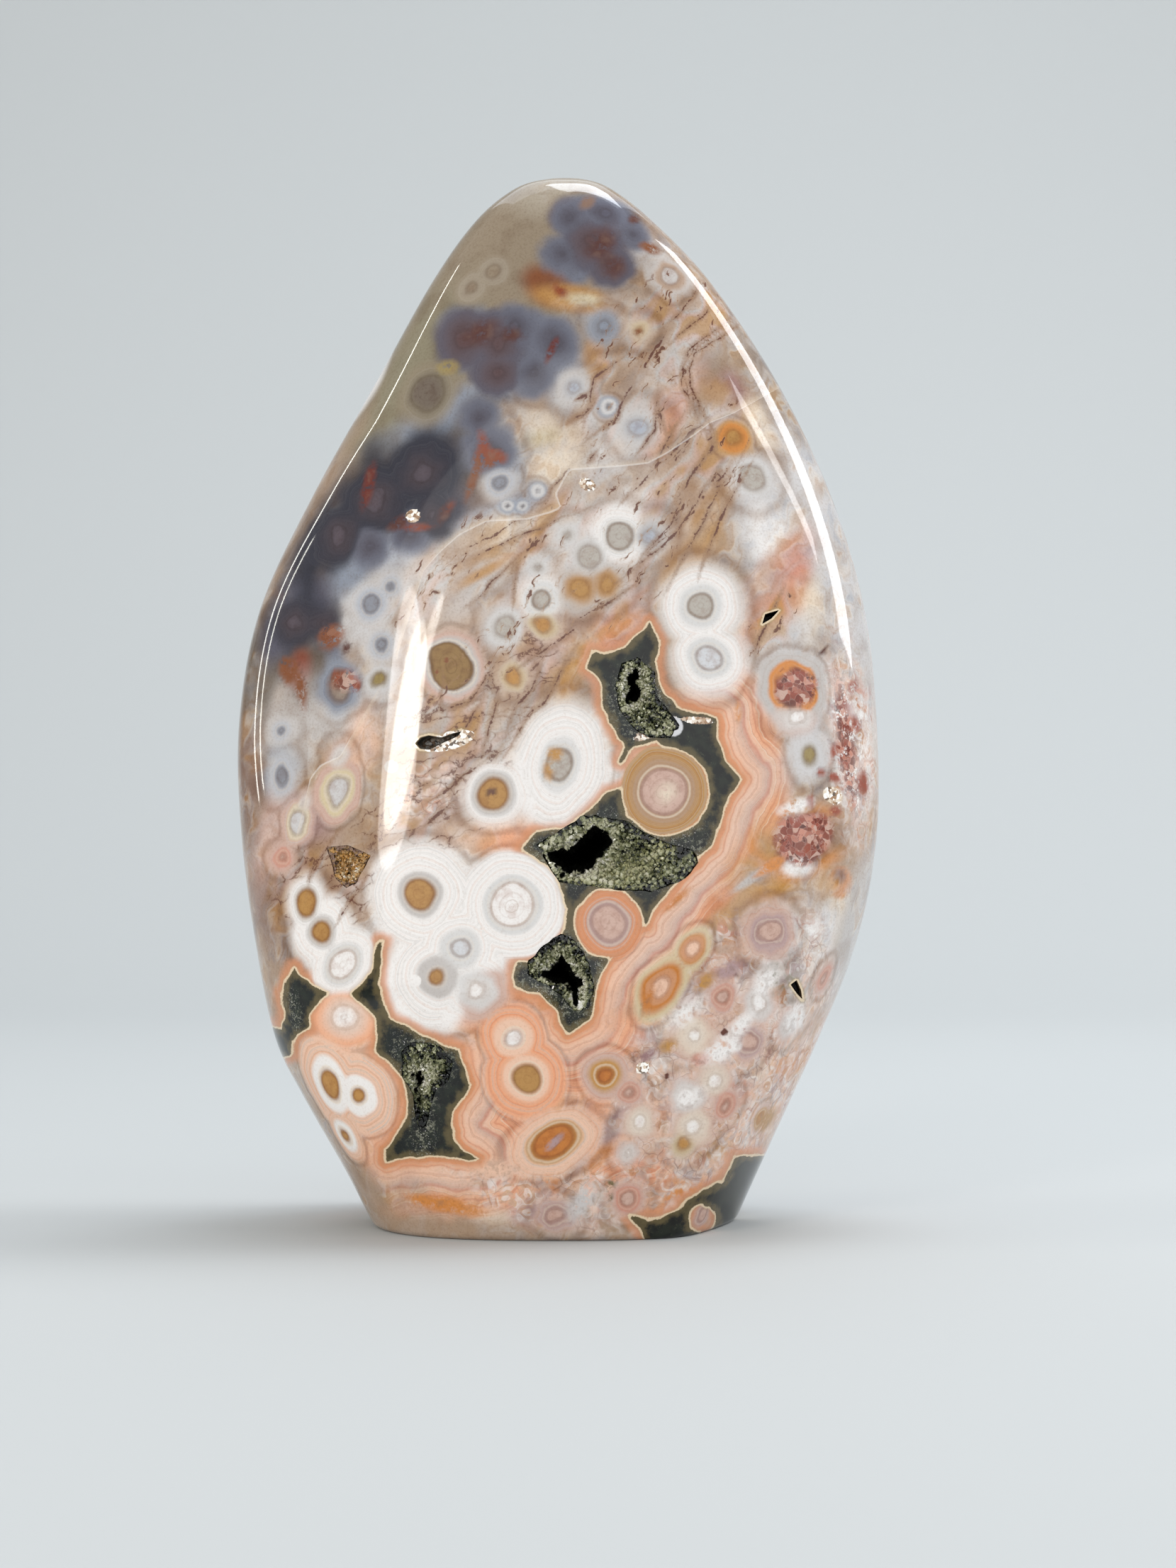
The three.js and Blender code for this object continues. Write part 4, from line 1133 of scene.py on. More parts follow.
def quartz_points():
    """A node tree that sets six-sided quartz points on the open side of a crust."""
    tree = bpy.data.node_groups.new("quartz_points", "GeometryNodeTree")
    tree.interface.new_socket("Geometry", in_out="OUTPUT", socket_type="NodeSocketGeometry")
    for name, kind in (
        ("Geometry", "Geometry"), ("Size", "Float"), ("Spacing", "Float"), ("Length", "Float"),
        ("Seed", "Int"), ("Material", "Material"),
    ):
        tree.interface.new_socket(name, in_out="INPUT", socket_type="NodeSocket" + kind)

    def node(kind, inputs, **settings):
        """The outputs of a new node, whose inputs go by name or by number."""
        made = tree.nodes.new(kind)
        for key, value in settings.items():
            setattr(made, key, value)
        for key, value in inputs.items():
            if isinstance(value, bpy.types.NodeSocket):
                tree.links.new(value, made.inputs[key])
            else:
                made.inputs[key].default_value = value
        return made.outputs

    given = tree.nodes.new("NodeGroupInput").outputs
    side = node("GeometryNodeInputNamedAttribute", {"Name": "open_side"}, data_type="FLOAT")
    open_side = node(
        "FunctionNodeCompare", {0: side[0], 1: 0.5}, data_type="FLOAT", operation="GREATER_THAN"
    )
    scatter = node("GeometryNodeDistributePointsOnFaces", {
        "Mesh": given["Geometry"],
        "Selection": open_side[0],
        "Distance Min": given["Spacing"],
        "Density Max": 2.0e7,
        "Seed": given["Seed"],
    }, distribute_method="POISSON")
    cone = node("GeometryNodeMeshCone", {
        "Vertices": 6,
        "Side Segments": 2,
        "Radius Top": 0.0,
        "Radius Bottom": given["Size"],
        "Depth": given["Length"],
    }, fill_type="TRIANGLE_FAN")
    # the ring half way up is moved out, so that the point has upright sides below its tip
    place = node("GeometryNodeInputPosition", {})
    height = node("ShaderNodeSeparateXYZ", {"Vector": place[0]})
    half = node("ShaderNodeMath", {0: given["Length"], 1: 0.5}, operation="MULTIPLY")
    at_waist = node("FunctionNodeCompare", {
        0: height[2], 1: half[0], "Epsilon": 1e-5,
    }, data_type="FLOAT", operation="EQUAL")
    wide = node("ShaderNodeVectorMath", {0: place[0], 1: (1.8, 1.8, 1.2)}, operation="MULTIPLY")
    point = node("GeometryNodeSetPosition", {
        "Geometry": cone["Mesh"], "Selection": at_waist[0], "Position": wide[0],
    })
    tilt = node("FunctionNodeRandomValue", {
        0: (-0.6, -0.6, 0.0), 1: (0.6, 0.6, 1.0),
    }, data_type="FLOAT_VECTOR")
    turn = node("FunctionNodeRotateRotation", {
        0: scatter["Rotation"], 1: tilt[0],
    }, rotation_space="LOCAL")
    size = node("FunctionNodeRandomValue", {2: 0.55, 3: 1.35}, data_type="FLOAT")
    set_out = node("GeometryNodeInstanceOnPoints", {
        "Points": scatter["Points"], "Instance": point[0], "Rotation": turn[0], "Scale": size[1],
    })
    grown = node("GeometryNodeRealizeInstances", {"Geometry": set_out[0]})
    joined = tree.nodes.new("GeometryNodeJoinGeometry")
    tree.links.new(grown[0], joined.inputs[0])
    tree.links.new(given["Geometry"], joined.inputs[0])
    whole = node("GeometryNodeRealizeInstances", {"Geometry": joined.outputs[0]})
    painted = node("GeometryNodeSetMaterial", {"Geometry": whole[0], "Material": given["Material"]})
    tree.links.new(painted[0], tree.nodes.new("NodeGroupOutput").inputs[0])
    return tree


def grow_quartz(piece, tree, size, material, seed):
    """Cover a crust with quartz points and make it a plain mesh."""
    grow = piece.modifiers.new("quartz", "NODES")
    grow.node_group = tree
    values = {name: times * size * MM for name, times in QUARTZ.items()}
    values.update(Seed=seed, Material=material)
    for item in tree.interface.items_tree:
        if item.in_out == "INPUT" and item.name in values:
            grow[item.identifier] = values[item.name]
    bake_modifiers(piece)


def mesh_points(mesh):
    """A mesh's points in millimetres."""
    points = np.empty(len(mesh.vertices) * 3, np.float32)
    mesh.vertices.foreach_get("co", points)
    return points.reshape(-1, 3).astype(float) / MM


def grind_flush(piece):
    """Grind off the crystals that stand out of the polished surface."""
    points = mesh_points(piece.data)
    z = points[:, 2]
    middle = middle_line(z)
    away = np.hypot(points[:, 0] - middle, points[:, 1])
    share = 1 - np.maximum(FLUSH - depth_under_polish(points), 0) / away
    points[:, 0] = middle + (points[:, 0] - middle) * share
    points[:, 1] *= share
    piece.data.vertices.foreach_set("co", (points * MM).astype(np.float32).ravel())
    piece.data.update()


def store_depth(piece, name, face):
    """Keep how far points lie behind the polished face and from the dark hole, for the material."""
    points = mesh_points(piece.data)
    view = points[:, ::2]
    from_hole = outline_distance(view, POCKETS[name]["hole"]) + 0.55 * cloudy(points, 0.9, 4)
    lit = mask(view, GLOW, cloudy(points, 1.5, 6))
    store_numbers(piece.data, "sunk", points[:, 1] - face, from_hole, lit)
    from_mouth = -outline_distance(view, POCKETS[name]["mouth"])
    store_numbers(piece.data, "margin", from_mouth, 0, 0)


# The pattern in the stone, worked out at each point of the mesh


LATTICE = np.random.default_rng(5).random((32, 32, 32))


def cloudy(points, size, seed=0):
    """Smooth noise from -1 to 1, with lumps of about the given size."""
    p = points / size + 7.31 * seed
    cell = np.floor(p).astype(int)
    t = p - cell
    t = t * t * (3 - 2 * t)
    total = np.zeros(len(points))
    for corner in itertools.product((0, 1), repeat=3):
        weight = np.prod(np.where(corner, t, 1 - t), axis=1)
        i, j, k = ((cell + corner) % 32).T
        total += weight * LATTICE[i, j, k]
    return 2 * total - 1


def smooth(low, high, value):
    t = np.clip((value - low) / (high - low), 0, 1)
    return t * t * (3 - 2 * t)


def colour(name):
    """A colour of the palette as linear light."""
    c = np.array(COLOURS[name]) / 255
    return np.where(c <= 0.04045, c / 12.92, ((c + 0.055) / 1.055) ** 2.4)


def seen(points):
    """Where points show in the view: across and up on the stone's middle plane."""
    x, y, z = points.T
    near = CAMERA.y / (CAMERA.y - y)
    return np.stack([CAMERA.x + (x - CAMERA.x) * near, CAMERA.z + (z - CAMERA.z) * near], 1)


def pattern_view(points):
    """The view for the ground and its marks, which drifts behind so that the front isn't mirrored."""
    behind = smooth(-1.5, 10.0, points[:, 1])[:, None]
    sway = BACK_SWAY * np.stack([cloudy(points, 9, 12), cloudy(points, 9, 13)], 1)
    return seen(points) + behind * (sway + BACK_DRIFT)


def spread(view, x, z, long, short, tilt):
    """How far points lie from a tilted oval's middle, where 1 is its edge."""
    a = math.radians(tilt)
    dx, dz = view[:, 0] - x, view[:, 1] - z
    u = (dx * math.cos(a) + dz * math.sin(a)) / long
    v = (dz * math.cos(a) - dx * math.sin(a)) / short
    return np.hypot(u, v)


def paint_zones(points, view, ruffle):
    ground = np.tile(colour(GROUND), (len(points), 1))
    behind = smooth(-2, 6, points[:, 1])
    for name, seed in BACK_GROUNDS:
        share = behind * smooth(-0.1, 0.4, cloudy(points, 11, seed))
        ground += share[:, None] * (colour(name) - ground)
    for name, x, z, long, short, tilt, soft in ZONES:
        share = smooth(1 + soft, 1 - soft, spread(view, x, z, long, short, tilt) + 0.22 * ruffle)
        ground += share[:, None] * (colour(name) - ground)
    return ground


def paint_stains(view, ragged_edge):
    """Colours of the stains, and how much they cover."""
    total, weights, bare = np.zeros((len(view), 3)), np.full(len(view), 1e-6), np.ones(len(view))
    for name, x, z, long, short, tilt, soft in STAINS:
        share = smooth(1 + soft, 1 - soft, spread(view, x, z, long, short, tilt) + 0.3 * ragged_edge)
        total += share[:, None] * colour(name)
        weights += share
        bare *= 1 - share
    return total / weights[:, None], 1 - bare


def paint_specks(view, ragged_edge):
    """Colours of the nearest specks, and the distance from their edges."""
    near = np.full(len(view), 2.0)
    colours = np.zeros((len(view), 3))
    for name, x, z, radius in SPECKS:
        edge = np.hypot(view[:, 0] - x, view[:, 1] - z) - radius + 0.15 * ragged_edge
        closer = edge < near
        near[closer] = edge[closer]
        colours[closer] = colour(name)
    return colours, near


def paint_strokes(view, ragged_edge, strokes):
    """For the nearest stroke: the signed distance from its line, and its half width there."""
    best = np.full(len(view), -9.0)
    signed = np.full(len(view), 9.0)
    widths = np.full(len(view), -9.0)
    for width, *line in strokes:
        line = np.array(line)
        runs = np.linalg.norm(np.diff(line, axis=0), axis=1)
        starts = np.concatenate([[0], np.cumsum(runs)])
        near = np.full(len(view), 1e9)
        side, along = np.zeros(len(view)), np.zeros(len(view))
        for k, (a, b) in enumerate(zip(line, line[1:])):
            way = (b - a) / runs[k]
            from_a = view - a
            u = from_a @ way
            low = -9.0 if k == 0 else 0.0
            high = 9.0 if k == len(runs) - 1 else runs[k]
            u = np.clip(u, low, high)
            off = from_a - u[:, None] * way
            distance = np.hypot(*off.T)
            closer = distance < near
            near[closer] = distance[closer]
            side[closer] = (way[0] * from_a[:, 1] - way[1] * from_a[:, 0])[closer]
            along[closer] = ((starts[k] + u) / starts[-1])[closer]
        side = np.sign(side) * near + 0.26 * ragged_edge
        here = width * (1 - (2 * along - 1) ** 2) - 0.5 * near**2
        closer = here - near > best
        best[closer] = (here - near)[closer]
        signed[closer] = side[closer]
        widths[closer] = here[closer]
    return np.clip(signed, -3, 3), np.clip(widths, -3, 3)


def mask(view, ovals, ruffle):
    total = np.zeros(len(view))
    for x, z, long, short, tilt, soft in ovals:
        share = smooth(1 + soft, 1 - soft, spread(view, x, z, long, short, tilt) + 0.3 * ruffle)
        total = np.maximum(total, share)
    return total


def outline_distance(view, outline):
    """Distance to an outline, negative inside it."""
    near = np.full(len(view), 1e9)
    inside = np.zeros(len(view), bool)
    corners = np.array(outline)
    for a, b in zip(corners, np.roll(corners, -1, 0)):
        side = b - a
        from_a = view - a
        t = np.clip(from_a @ side / (side @ side), 0, 1)
        near = np.minimum(near, np.hypot(*(from_a - t[:, None] * side).T))
        if a[1] != b[1]:
            level = (view[:, 1] < a[1]) != (view[:, 1] < b[1])
            crossing = a[0] + (view[:, 1] - a[1]) / side[1] * side[0]
            inside ^= level & (view[:, 0] < crossing)
    return np.where(inside, -near, near)


def window_distance(points, view):
    """Distance to the edge of the nearest green window, negative inside."""
    front = points[:, 1] - 1.5 + 2 * cloudy(points, 6, 3)
    near = np.full(len(points), 1e9)
    for outline in WINDOWS:
        near = np.minimum(near, np.maximum(outline_distance(view, outline), front))
    for x, z, radius in WINDOW_PIPS:
        near = np.maximum(near, radius - np.hypot(view[:, 0] - x, view[:, 1] - z))
    for outline, (x, z) in zip(WINDOWS, BACK_WINDOWS):
        turned = np.stack([x - points[:, 0], z - points[:, 2]], 1)
        near = np.minimum(near, np.maximum(outline_distance(turned, outline), -front))
    return near


def front_orbs(points, view):
    """The orbs of the front as kinds, places in the stone, radii, and stretch along a direction."""
    front = np.nonzero(points[:, 1] < -0.5)[0]
    orbs = []
    for kind, x, z, *shape in FRONT_ORBS:
        found = front[np.argmin(np.hypot(view[front, 0] - x, view[front, 1] - z))]
        nearness = 1 - points[found, 1] / CAMERA.y
        stretch, tilt = shape[3:] or (1, 0)
        way = np.array((math.cos(math.radians(tilt)), 0, math.sin(math.radians(tilt))))
        radii = [radius * nearness for radius in shape[:3]]
        orbs.append((kind, points[found], radii, (1 / stretch - 1) * way, way))
    return orbs


def back_orbs(points):
    """Orbs of the back and sides, set out by chance but clear of each other."""
    chance = np.random.default_rng(BACK_SEED)
    back = points[points[:, 1] > 1.0]
    orbs = []
    for _ in range(BACK_TRIES):
        place = back[chance.integers(len(back))]
        kind = BACK_KINDS[chance.integers(len(BACK_KINDS))]
        size = chance.uniform(*BACK_RADII)
        core, ring = chance.uniform(0.25, 0.42), chance.uniform(0.46, 0.62)
        apart = [np.linalg.norm(place - other[1]) > 0.8 * (size + other[2][2]) for other in orbs]
        if all(apart):
            orbs.append((kind, place, [core * size, ring * size, size], np.zeros(3), np.zeros(3)))
    return orbs


def store_colours(mesh, name, colours, beside=1.0):
    """Keep a colour at each point, with a number beside it."""
    values = np.column_stack([colours, np.broadcast_to(beside, len(colours))])
    attribute = mesh.attributes.new(name, "FLOAT_COLOR", "POINT")
    attribute.data.foreach_set("color", values.astype(np.float32).ravel())


def store_numbers(mesh, name, *three):
    """Keep three numbers at each point."""
    values = np.stack(np.broadcast_arrays(*three), 1)
    attribute = mesh.attributes.new(name, "FLOAT_VECTOR", "POINT")
    attribute.data.foreach_set("vector", values.astype(np.float32).ravel())


def paint_orbs(mesh, points, view, ragged_edge):
    """Store the orbs' colours and edges; return the distance from the nearest core, and its rings."""
    warped = points + ORB_WARP * np.stack([cloudy(points, 3, seed) for seed in (4, 5, 6)], 1)
    near = np.full((3, len(points)), 1e9)
    totals = np.zeros((3, len(points), 5))
    radial = np.full(len(points), 1e9)
    rings = np.zeros(len(points))
    for kind, place, radii, squeeze, way in front_orbs(points, view) + back_orbs(points):
        *names, softness, strength, ragged_by = ORB_KINDS[kind]
        away = warped - place
        away += (away @ way)[:, None] * squeeze
        distance = np.linalg.norm(away, axis=1) + ragged_by * ragged_edge
        closer = distance - radii[0] < radial
        radial = np.where(closer, distance - radii[0], radial)
        rings = np.where(closer, strength * smooth(1.3, 0.8, distance / radii[2]), rings)
        for layer, (name, radius, soft) in enumerate(zip(names, radii, softness)):
            edge = distance - radius
            near[layer] = np.minimum(near[layer], edge)
            share = np.exp(-np.clip(edge, -9, 9) / ORB_MERGE)
            totals[layer] += share[:, None] * np.array([*colour(name), soft, 1])
    totals /= totals[:, :, 4:]
    for layer, name in enumerate(("core_colour", "ring_colour", "outer_colour")):
        store_colours(mesh, name, totals[layer, :, :3])
    store_numbers(mesh, "orb_edges", *np.clip(near / totals[:, :, 3], -5, 5))
    return np.clip(radial, -9, 9), rings


def paint_lines(mesh, points, drifted, ragged_edge):
    """Store the brown veins, which are on the front alone, the thin pale line and the slits."""
    side, width = paint_strokes(drifted, ragged_edge, STROKES)
    width = np.where(points[:, 1] > 1, -3, width)
    slit = np.min([outline_distance(points[:, ::2], slit["mouth"]) for slit in SLITS], axis=0)
    slit = np.where(points[:, 1] < 0, np.clip(slit, -3, 3), 3)
    store_numbers(mesh, "strokes", side, width, slit)
    store_numbers(mesh, "crack", *paint_strokes(drifted, 0 * ragged_edge, PALE_LINE), 0)


def paint_pattern(mesh):
    """Store the pattern on a mesh: colours of the zones, and distances from their edges."""
    points = mesh_points(mesh)
    view, drifted = seen(points), pattern_view(points)
    ruffle = 0.6 * cloudy(points, 5, 1) + 0.4 * cloudy(points, 2.2, 2)
    ragged_edge = cloudy(points, 2.2, 9) + 0.6 * cloudy(points, 1.0, 10)
    store_colours(mesh, "ground_colour", paint_zones(points, drifted, ruffle))
    store_colours(mesh, "stain_colour", *paint_stains(drifted, ragged_edge))
    store_colours(mesh, "speck_colour", *paint_specks(drifted, ragged_edge))
    paint_lines(mesh, points, drifted, ragged_edge)

    radial, rings = paint_orbs(mesh, points, view, ragged_edge)
    window = window_distance(points, view) + 0.25 * cloudy(points, 1.6, 8) + 0.15 * cloudy(points, 0.9, 7)
    store_numbers(mesh, "growth", radial, np.clip(window, -20, 20), rings)
    veins, breccia, druse, bands, calm, dashes, granular, sparkle = (
        mask(drifted, ovals, ruffle)
        for ovals in (VEINS, BRECCIA, DRUSE, BANDS, CALM, DASHES, GRANULAR, SPARKLE)
    )
    store_numbers(mesh, "marks", veins, breccia, druse)
    store_numbers(mesh, "bands", bands, depth_under_polish(points), calm)
    store_numbers(mesh, "grain", dashes, granular, sparkle * (points[:, 1] < 0))


# Materials


class Socket:
    """A number, colour or vector that runs through a material's nodes; numbers add and scale."""

    def __init__(self, tree, socket):
        self.tree = tree
        self.socket = socket

    def node(self, kind, settings, inputs, output=0):
        made = self.tree.nodes.new(kind)
        for name, value in settings.items():
            if name == "stops":
                ramp = made.color_ramp.elements
                while len(ramp) < len(value):
                    ramp.new(1)
                for stop, (position, paint) in zip(ramp, value):
                    stop.position = position
                    stop.color = tone(paint)
            else:
                setattr(made, name, value)
        for name, value in inputs.items():
            if isinstance(value, Socket):
                self.tree.links.new(value.socket, made.inputs[name])
            else:
                made.inputs[name].default_value = value
        return Socket(self.tree, made.outputs[output])

    def math(self, operation, a, b=0.0):
        return self.node("ShaderNodeMath", {"operation": operation}, {0: a, 1: b})

    def __add__(self, other):
        return self.math("ADD", self, other)

    def __sub__(self, other):
        return self.math("SUBTRACT", self, other)

    def __rsub__(self, other):
        return self.math("SUBTRACT", other, self)

    def __mul__(self, other):
        return self.math("MULTIPLY", self, other)

    __radd__ = __add__
    __rmul__ = __mul__

    def absolute(self):
        return self.math("ABSOLUTE", self)

    def most(self, other):
        return self.math("MAXIMUM", self, other)

    def step(self, low, high, top=1.0):
        """A smooth step from 0 at low to top at high; low may be the higher of the two."""
        settings = {"interpolation_type": "SMOOTHSTEP"}
        inputs = {"Value": self, "From Min": low, "From Max": high, "To Min": 0.0, "To Max": top}
        return self.node("ShaderNodeMapRange", settings, inputs)

    def mix(self, share, other, blend="MIX"):
        """This colour with a share of another, or of one of the palette, over it."""
        other = tone(other) if isinstance(other, str) else other
        settings = {"data_type": "RGBA", "blend_type": blend}
        return self.node("ShaderNodeMix", settings, {0: share, 6: self, 7: other}, 2)

    def tint(self, share, other):
        return self.mix(share, other, "MULTIPLY")

    def ramp(self, *stops):
        """The colours of the palette that lie along this number, each with its place."""
        return self.node("ShaderNodeValToRGB", {"stops": stops}, {"Fac": self})

    def noise(self, scale, detail=2.0, roughness=0.5, output=0):
        inputs = {"Vector": self, "Scale": scale, "Detail": detail, "Roughness": roughness}
        return self.node("ShaderNodeTexNoise", {}, inputs, output)

    def stripes(self, scale, detail=1.0):
        """Uneven bands along a number."""
        inputs = {"W": self, "Scale": scale, "Detail": detail}
        return self.node("ShaderNodeTexNoise", {"noise_dimensions": "1D"}, inputs)

    def cells(self, scale, settings=None, output=0):
        """Distances in a jumble of cells; output 1 is each cell's own colour."""
        inputs = {"Vector": self, "Scale": scale}
        return self.node("ShaderNodeTexVoronoi", settings or {}, inputs, output)

    def cell_tint(self, scale):
        return self.cells(scale, output=1).part(0)

    def cell_edge(self, scale):
        return self.cells(scale, {"feature": "DISTANCE_TO_EDGE"})

    def pushed(self, far, scale, detail):
        """This place, pushed about by noise."""
        inputs = {0: self.noise(scale, detail, output=1), 1: (far, far, far), 2: self}
        return self.node("ShaderNodeVectorMath", {"operation": "MULTIPLY_ADD"}, inputs)

    def turned(self, angle, scale):
        """This vector turned in the plane of the stone's front, then stretched."""
        inputs = {"Vector": self, "Rotation": (0, math.radians(angle), 0)}
        turned = self.node("ShaderNodeMapping", {"vector_type": "POINT"}, inputs)
        return self.node("ShaderNodeVectorMath", {"operation": "MULTIPLY"}, {0: turned, 1: scale})

    def part(self, axis):
        return self.node("ShaderNodeSeparateXYZ", {}, {0: self}, axis)

    def parts(self):
        return [self.part(axis) for axis in range(3)]


def tone(name):
    return (*colour(name), 1)


def new_material(name):
    """A material, its shader node and the place on the piece in millimetres."""
    material = bpy.data.materials.new(name)
    material.use_nodes = True
    tree = material.node_tree
    shader = tree.nodes["Principled BSDF"]
    place = Socket(tree, tree.nodes.new("ShaderNodeTexCoord").outputs["Object"])
    place = place.node("ShaderNodeVectorMath", {"operation": "SCALE"}, {0: place, "Scale": 1 / MM})
    return material, shader, place


def plug(shader, name, value):
    value.tree.links.new(value.socket, shader.inputs[name])


def stored(place, name, kind="Vector"):
    return place.node("ShaderNodeAttribute", {"attribute_name": name}, {}, kind)


def stone_fields(place):
    """What the stone's layers share: what is stored on the mesh, and noise in several sizes."""
    here = SimpleNamespace(place=place)
    here.radial, here.window, here.ring_strength = stored(place, "growth").parts()
    here.core, here.ring, here.outer = stored(place, "orb_edges").parts()
    here.veins, here.breccia, here.druse = stored(place, "marks").parts()
    here.bands, here.under, calm = stored(place, "bands").parts()
    here.dashes, here.granular, here.sparkle = stored(place, "grain").parts()
    here.side, here.width, here.slit = stored(place, "strokes").parts()
    here.lively = 1 - calm
    here.broad = place.noise(0.22, 2)
    here.middling = place.noise(0.8, 3)
    here.fine = place.noise(3.2, 3, 0.6)
    here.waver = (here.middling - 0.5) * 0.5
    here.bent = place.pushed(5, 0.2, 1)
    here.jumbled = place.pushed(3, 0.3, 2)
    here.milk = here.bent.noise(0.16, 3, 0.55)
    here.streak = place.turned(55, (0.09, 0.25, 0.2)).noise(1, 2)
    # Glitter of white druse grains in random tones, the lightest cells painted glints.
    here.glitter = place.cell_tint(2.6).ramp(
        (0.0, "shaded_taupe"), (0.3, "tan"), (0.55, "cream"), (0.85, "glint"),
    )
    return here


def ground_layers(here):
    """Milky blotches of neighbouring tints, drawn out along the slant where the veins run."""
    paint = stored(here.place, "ground_colour", "Color")
    swirl = here.bent.turned(55, (0.55, 1, 1)).noise(0.3, 2)
    swirl_paint = swirl.ramp(
        (0.34, "haze_blue"), (0.42, "haze"), (0.47, "sand"), (0.52, "fog"), (0.58, "cream"),
        (0.63, "gold"), (0.7, "ochre"),
    )
    paint = paint.mix(here.milk.step(0.36, 0.64, 0.4) * here.lively, swirl_paint)
    paint = paint.tint(here.broad.step(0.48, 0.68, 0.3), "beige")
    streak_paint = here.streak.ramp(
        (0.33, "dun"), (0.4, "tan"), (0.46, "beige"), (0.5, "haze"), (0.55, "pink"), (0.6, "gold"),
        (0.68, "ochre"),
    )
    paint = paint.mix(here.veins.most(here.dashes) * 0.6, streak_paint)
    wisps = (here.bent.turned(50, (0.06, 0.1, 0.12)).noise(0.8, 1) * 9).stripes(1.0, 1)
    paint = paint.mix(wisps.step(0.52, 0.7, 0.25) * here.lively, "fog")
    return paint.tint(here.fine.step(0.35, 0.75, 0.15), "beige")


def agate_bands(paint, here):
    """Bands that follow the windows."""
    along = here.window + (here.broad - 0.5) * 1.6 + here.waver * 0.4
    stripe = along + along.stripes(0.5, 1) * 1.6 - 0.8
    salmon = (stripe * 0.1).ramp(
        (0.06, "deep_salmon"), (0.14, "salmon"), (0.2, "pale_salmon"), (0.3, "pale_salmon"),
        (0.38, "pink"), (0.42, "rose"), (0.45, "pale_salmon"), (0.56, "salmon"), (0.8, "salmon"),
        (0.9, "pale_salmon"),
    )
    bands = here.bands * here.window.step(10, 7)
    paint = paint.mix(bands * 0.75, salmon)
    lines = along.stripes(2.2, 1)
    paint = paint.tint(lines.step(0.5, 0.34, 0.3) * bands, "rose")
    thin = (along.stripes(0.8, 0) - 0.5).absolute().step(0.03, 0.0)
    return paint.mix(thin * bands * 0.5, "cream")


def broken_orbs(paint, here):
    """Breccia of small broken orbs, each with its own colour and rings."""
    for size, strength in ((0.2, 0.8), (0.42, 0.55)):
        cells, cell_tint = here.jumbled.cells(size), here.jumbled.cell_tint(size)
        cell_paint = cell_tint.ramp(
            (0.0, "white"), (0.2, "pale_salmon"), (0.38, "fog"), (0.52, "lilac"), (0.66, "cream"),
            (0.8, "rose"), (0.94, "gold"),
        )
        cell_rings = (cells * 3 + cell_tint * 9).stripes(1.5, 1)
        cell_paint = cell_paint.mix(cell_rings.step(0.5, 0.62, 0.8), "white")
        cell_paint = cell_paint.tint(cell_rings.step(0.44, 0.34, 0.35), "rose")
        cell_paint = cell_paint.tint(cells.step(0.55, 0.8, 0.5), "lilac")
        paint = paint.mix(here.breccia * strength * here.middling.step(0.34, 0.6, 0.85), cell_paint)
    chips = here.jumbled.cell_edge(0.46).step(0.05, 0.0, 0.4)
    return paint.tint(chips * here.breccia * here.milk.step(0.42, 0.58), "mauve")


def whole_orbs(paint, here):
    """Outline, outer zone, ring and core of the orbs, with fine rings round them."""
    outline = (here.outer - 1.1).absolute().step(0.9, 0.0, 0.4)
    paint = paint.tint(outline * here.lively, "tan")
    paint = paint.mix(here.outer.step(1.0, -1.0), stored(here.place, "outer_colour", "Color"))
    lines = (here.radial + here.waver * 0.35).stripes(1.9, 2)
    paint = paint.mix(lines.step(0.52, 0.66) * here.ring_strength * 0.5, "haze")
    paint = paint.tint(lines.step(0.48, 0.36) * here.ring_strength * 0.4, "pale_salmon")
    crisp = ((here.radial + here.waver * 0.4).stripes(2.0, 0) - 0.5).absolute().step(0.05, 0.0)
    paint = paint.mix(crisp * here.ring_strength * 0.4, "grey")
    paint = paint.mix(here.ring.step(1.0, -1.0), stored(here.place, "ring_colour", "Color"))
    collar = (here.radial + here.waver * 0.2 - 0.25).absolute().step(0.26, 0.03)
    paint = paint.mix(collar * here.ring_strength.step(0.3, 0.9, 0.55), "cream")
    core_paint = stored(here.place, "core_colour", "Color")
    core_paint = core_paint.tint(here.middling.step(0.4, 0.7, 0.35), "pink")
    core_paint = core_paint.tint(lines.step(0.5, 0.38, 0.35), "beige")
    core_paint = core_paint.tint(here.radial.step(-0.8, 0.1, 0.4), "tan")
    return paint.mix(here.core.step(1.0, -1.0), core_paint)


def stains_and_grains(paint, here):
    """Stains with cloudy edges, then masses of small red grains."""
    cover = stored(here.place, "stain_colour", "Alpha") * (here.fine * 0.2 + here.middling).step(0.35, 0.6)
    stain_paint = stored(here.place, "stain_colour", "Color")
    paint = paint.mix(cover, stain_paint.mix(here.middling.step(0.48, 0.7, 0.35), "mocha"))
    grain_paint = here.jumbled.cell_tint(1.15).ramp(
        (0.0, "red_brown"), (0.25, "brick"), (0.5, "red"), (0.7, "rose"), (0.9, "pink"),
    )
    grain_paint = grain_paint.mix(here.jumbled.cell_edge(1.15).step(0.1, 0.02, 0.25), "pink")
    grain_paint = grain_paint.mix((1 - here.lively) * 0.8, "rust")
    return paint.mix(here.granular * (here.fine + here.middling).step(0.75, 0.95, 0.9), grain_paint)


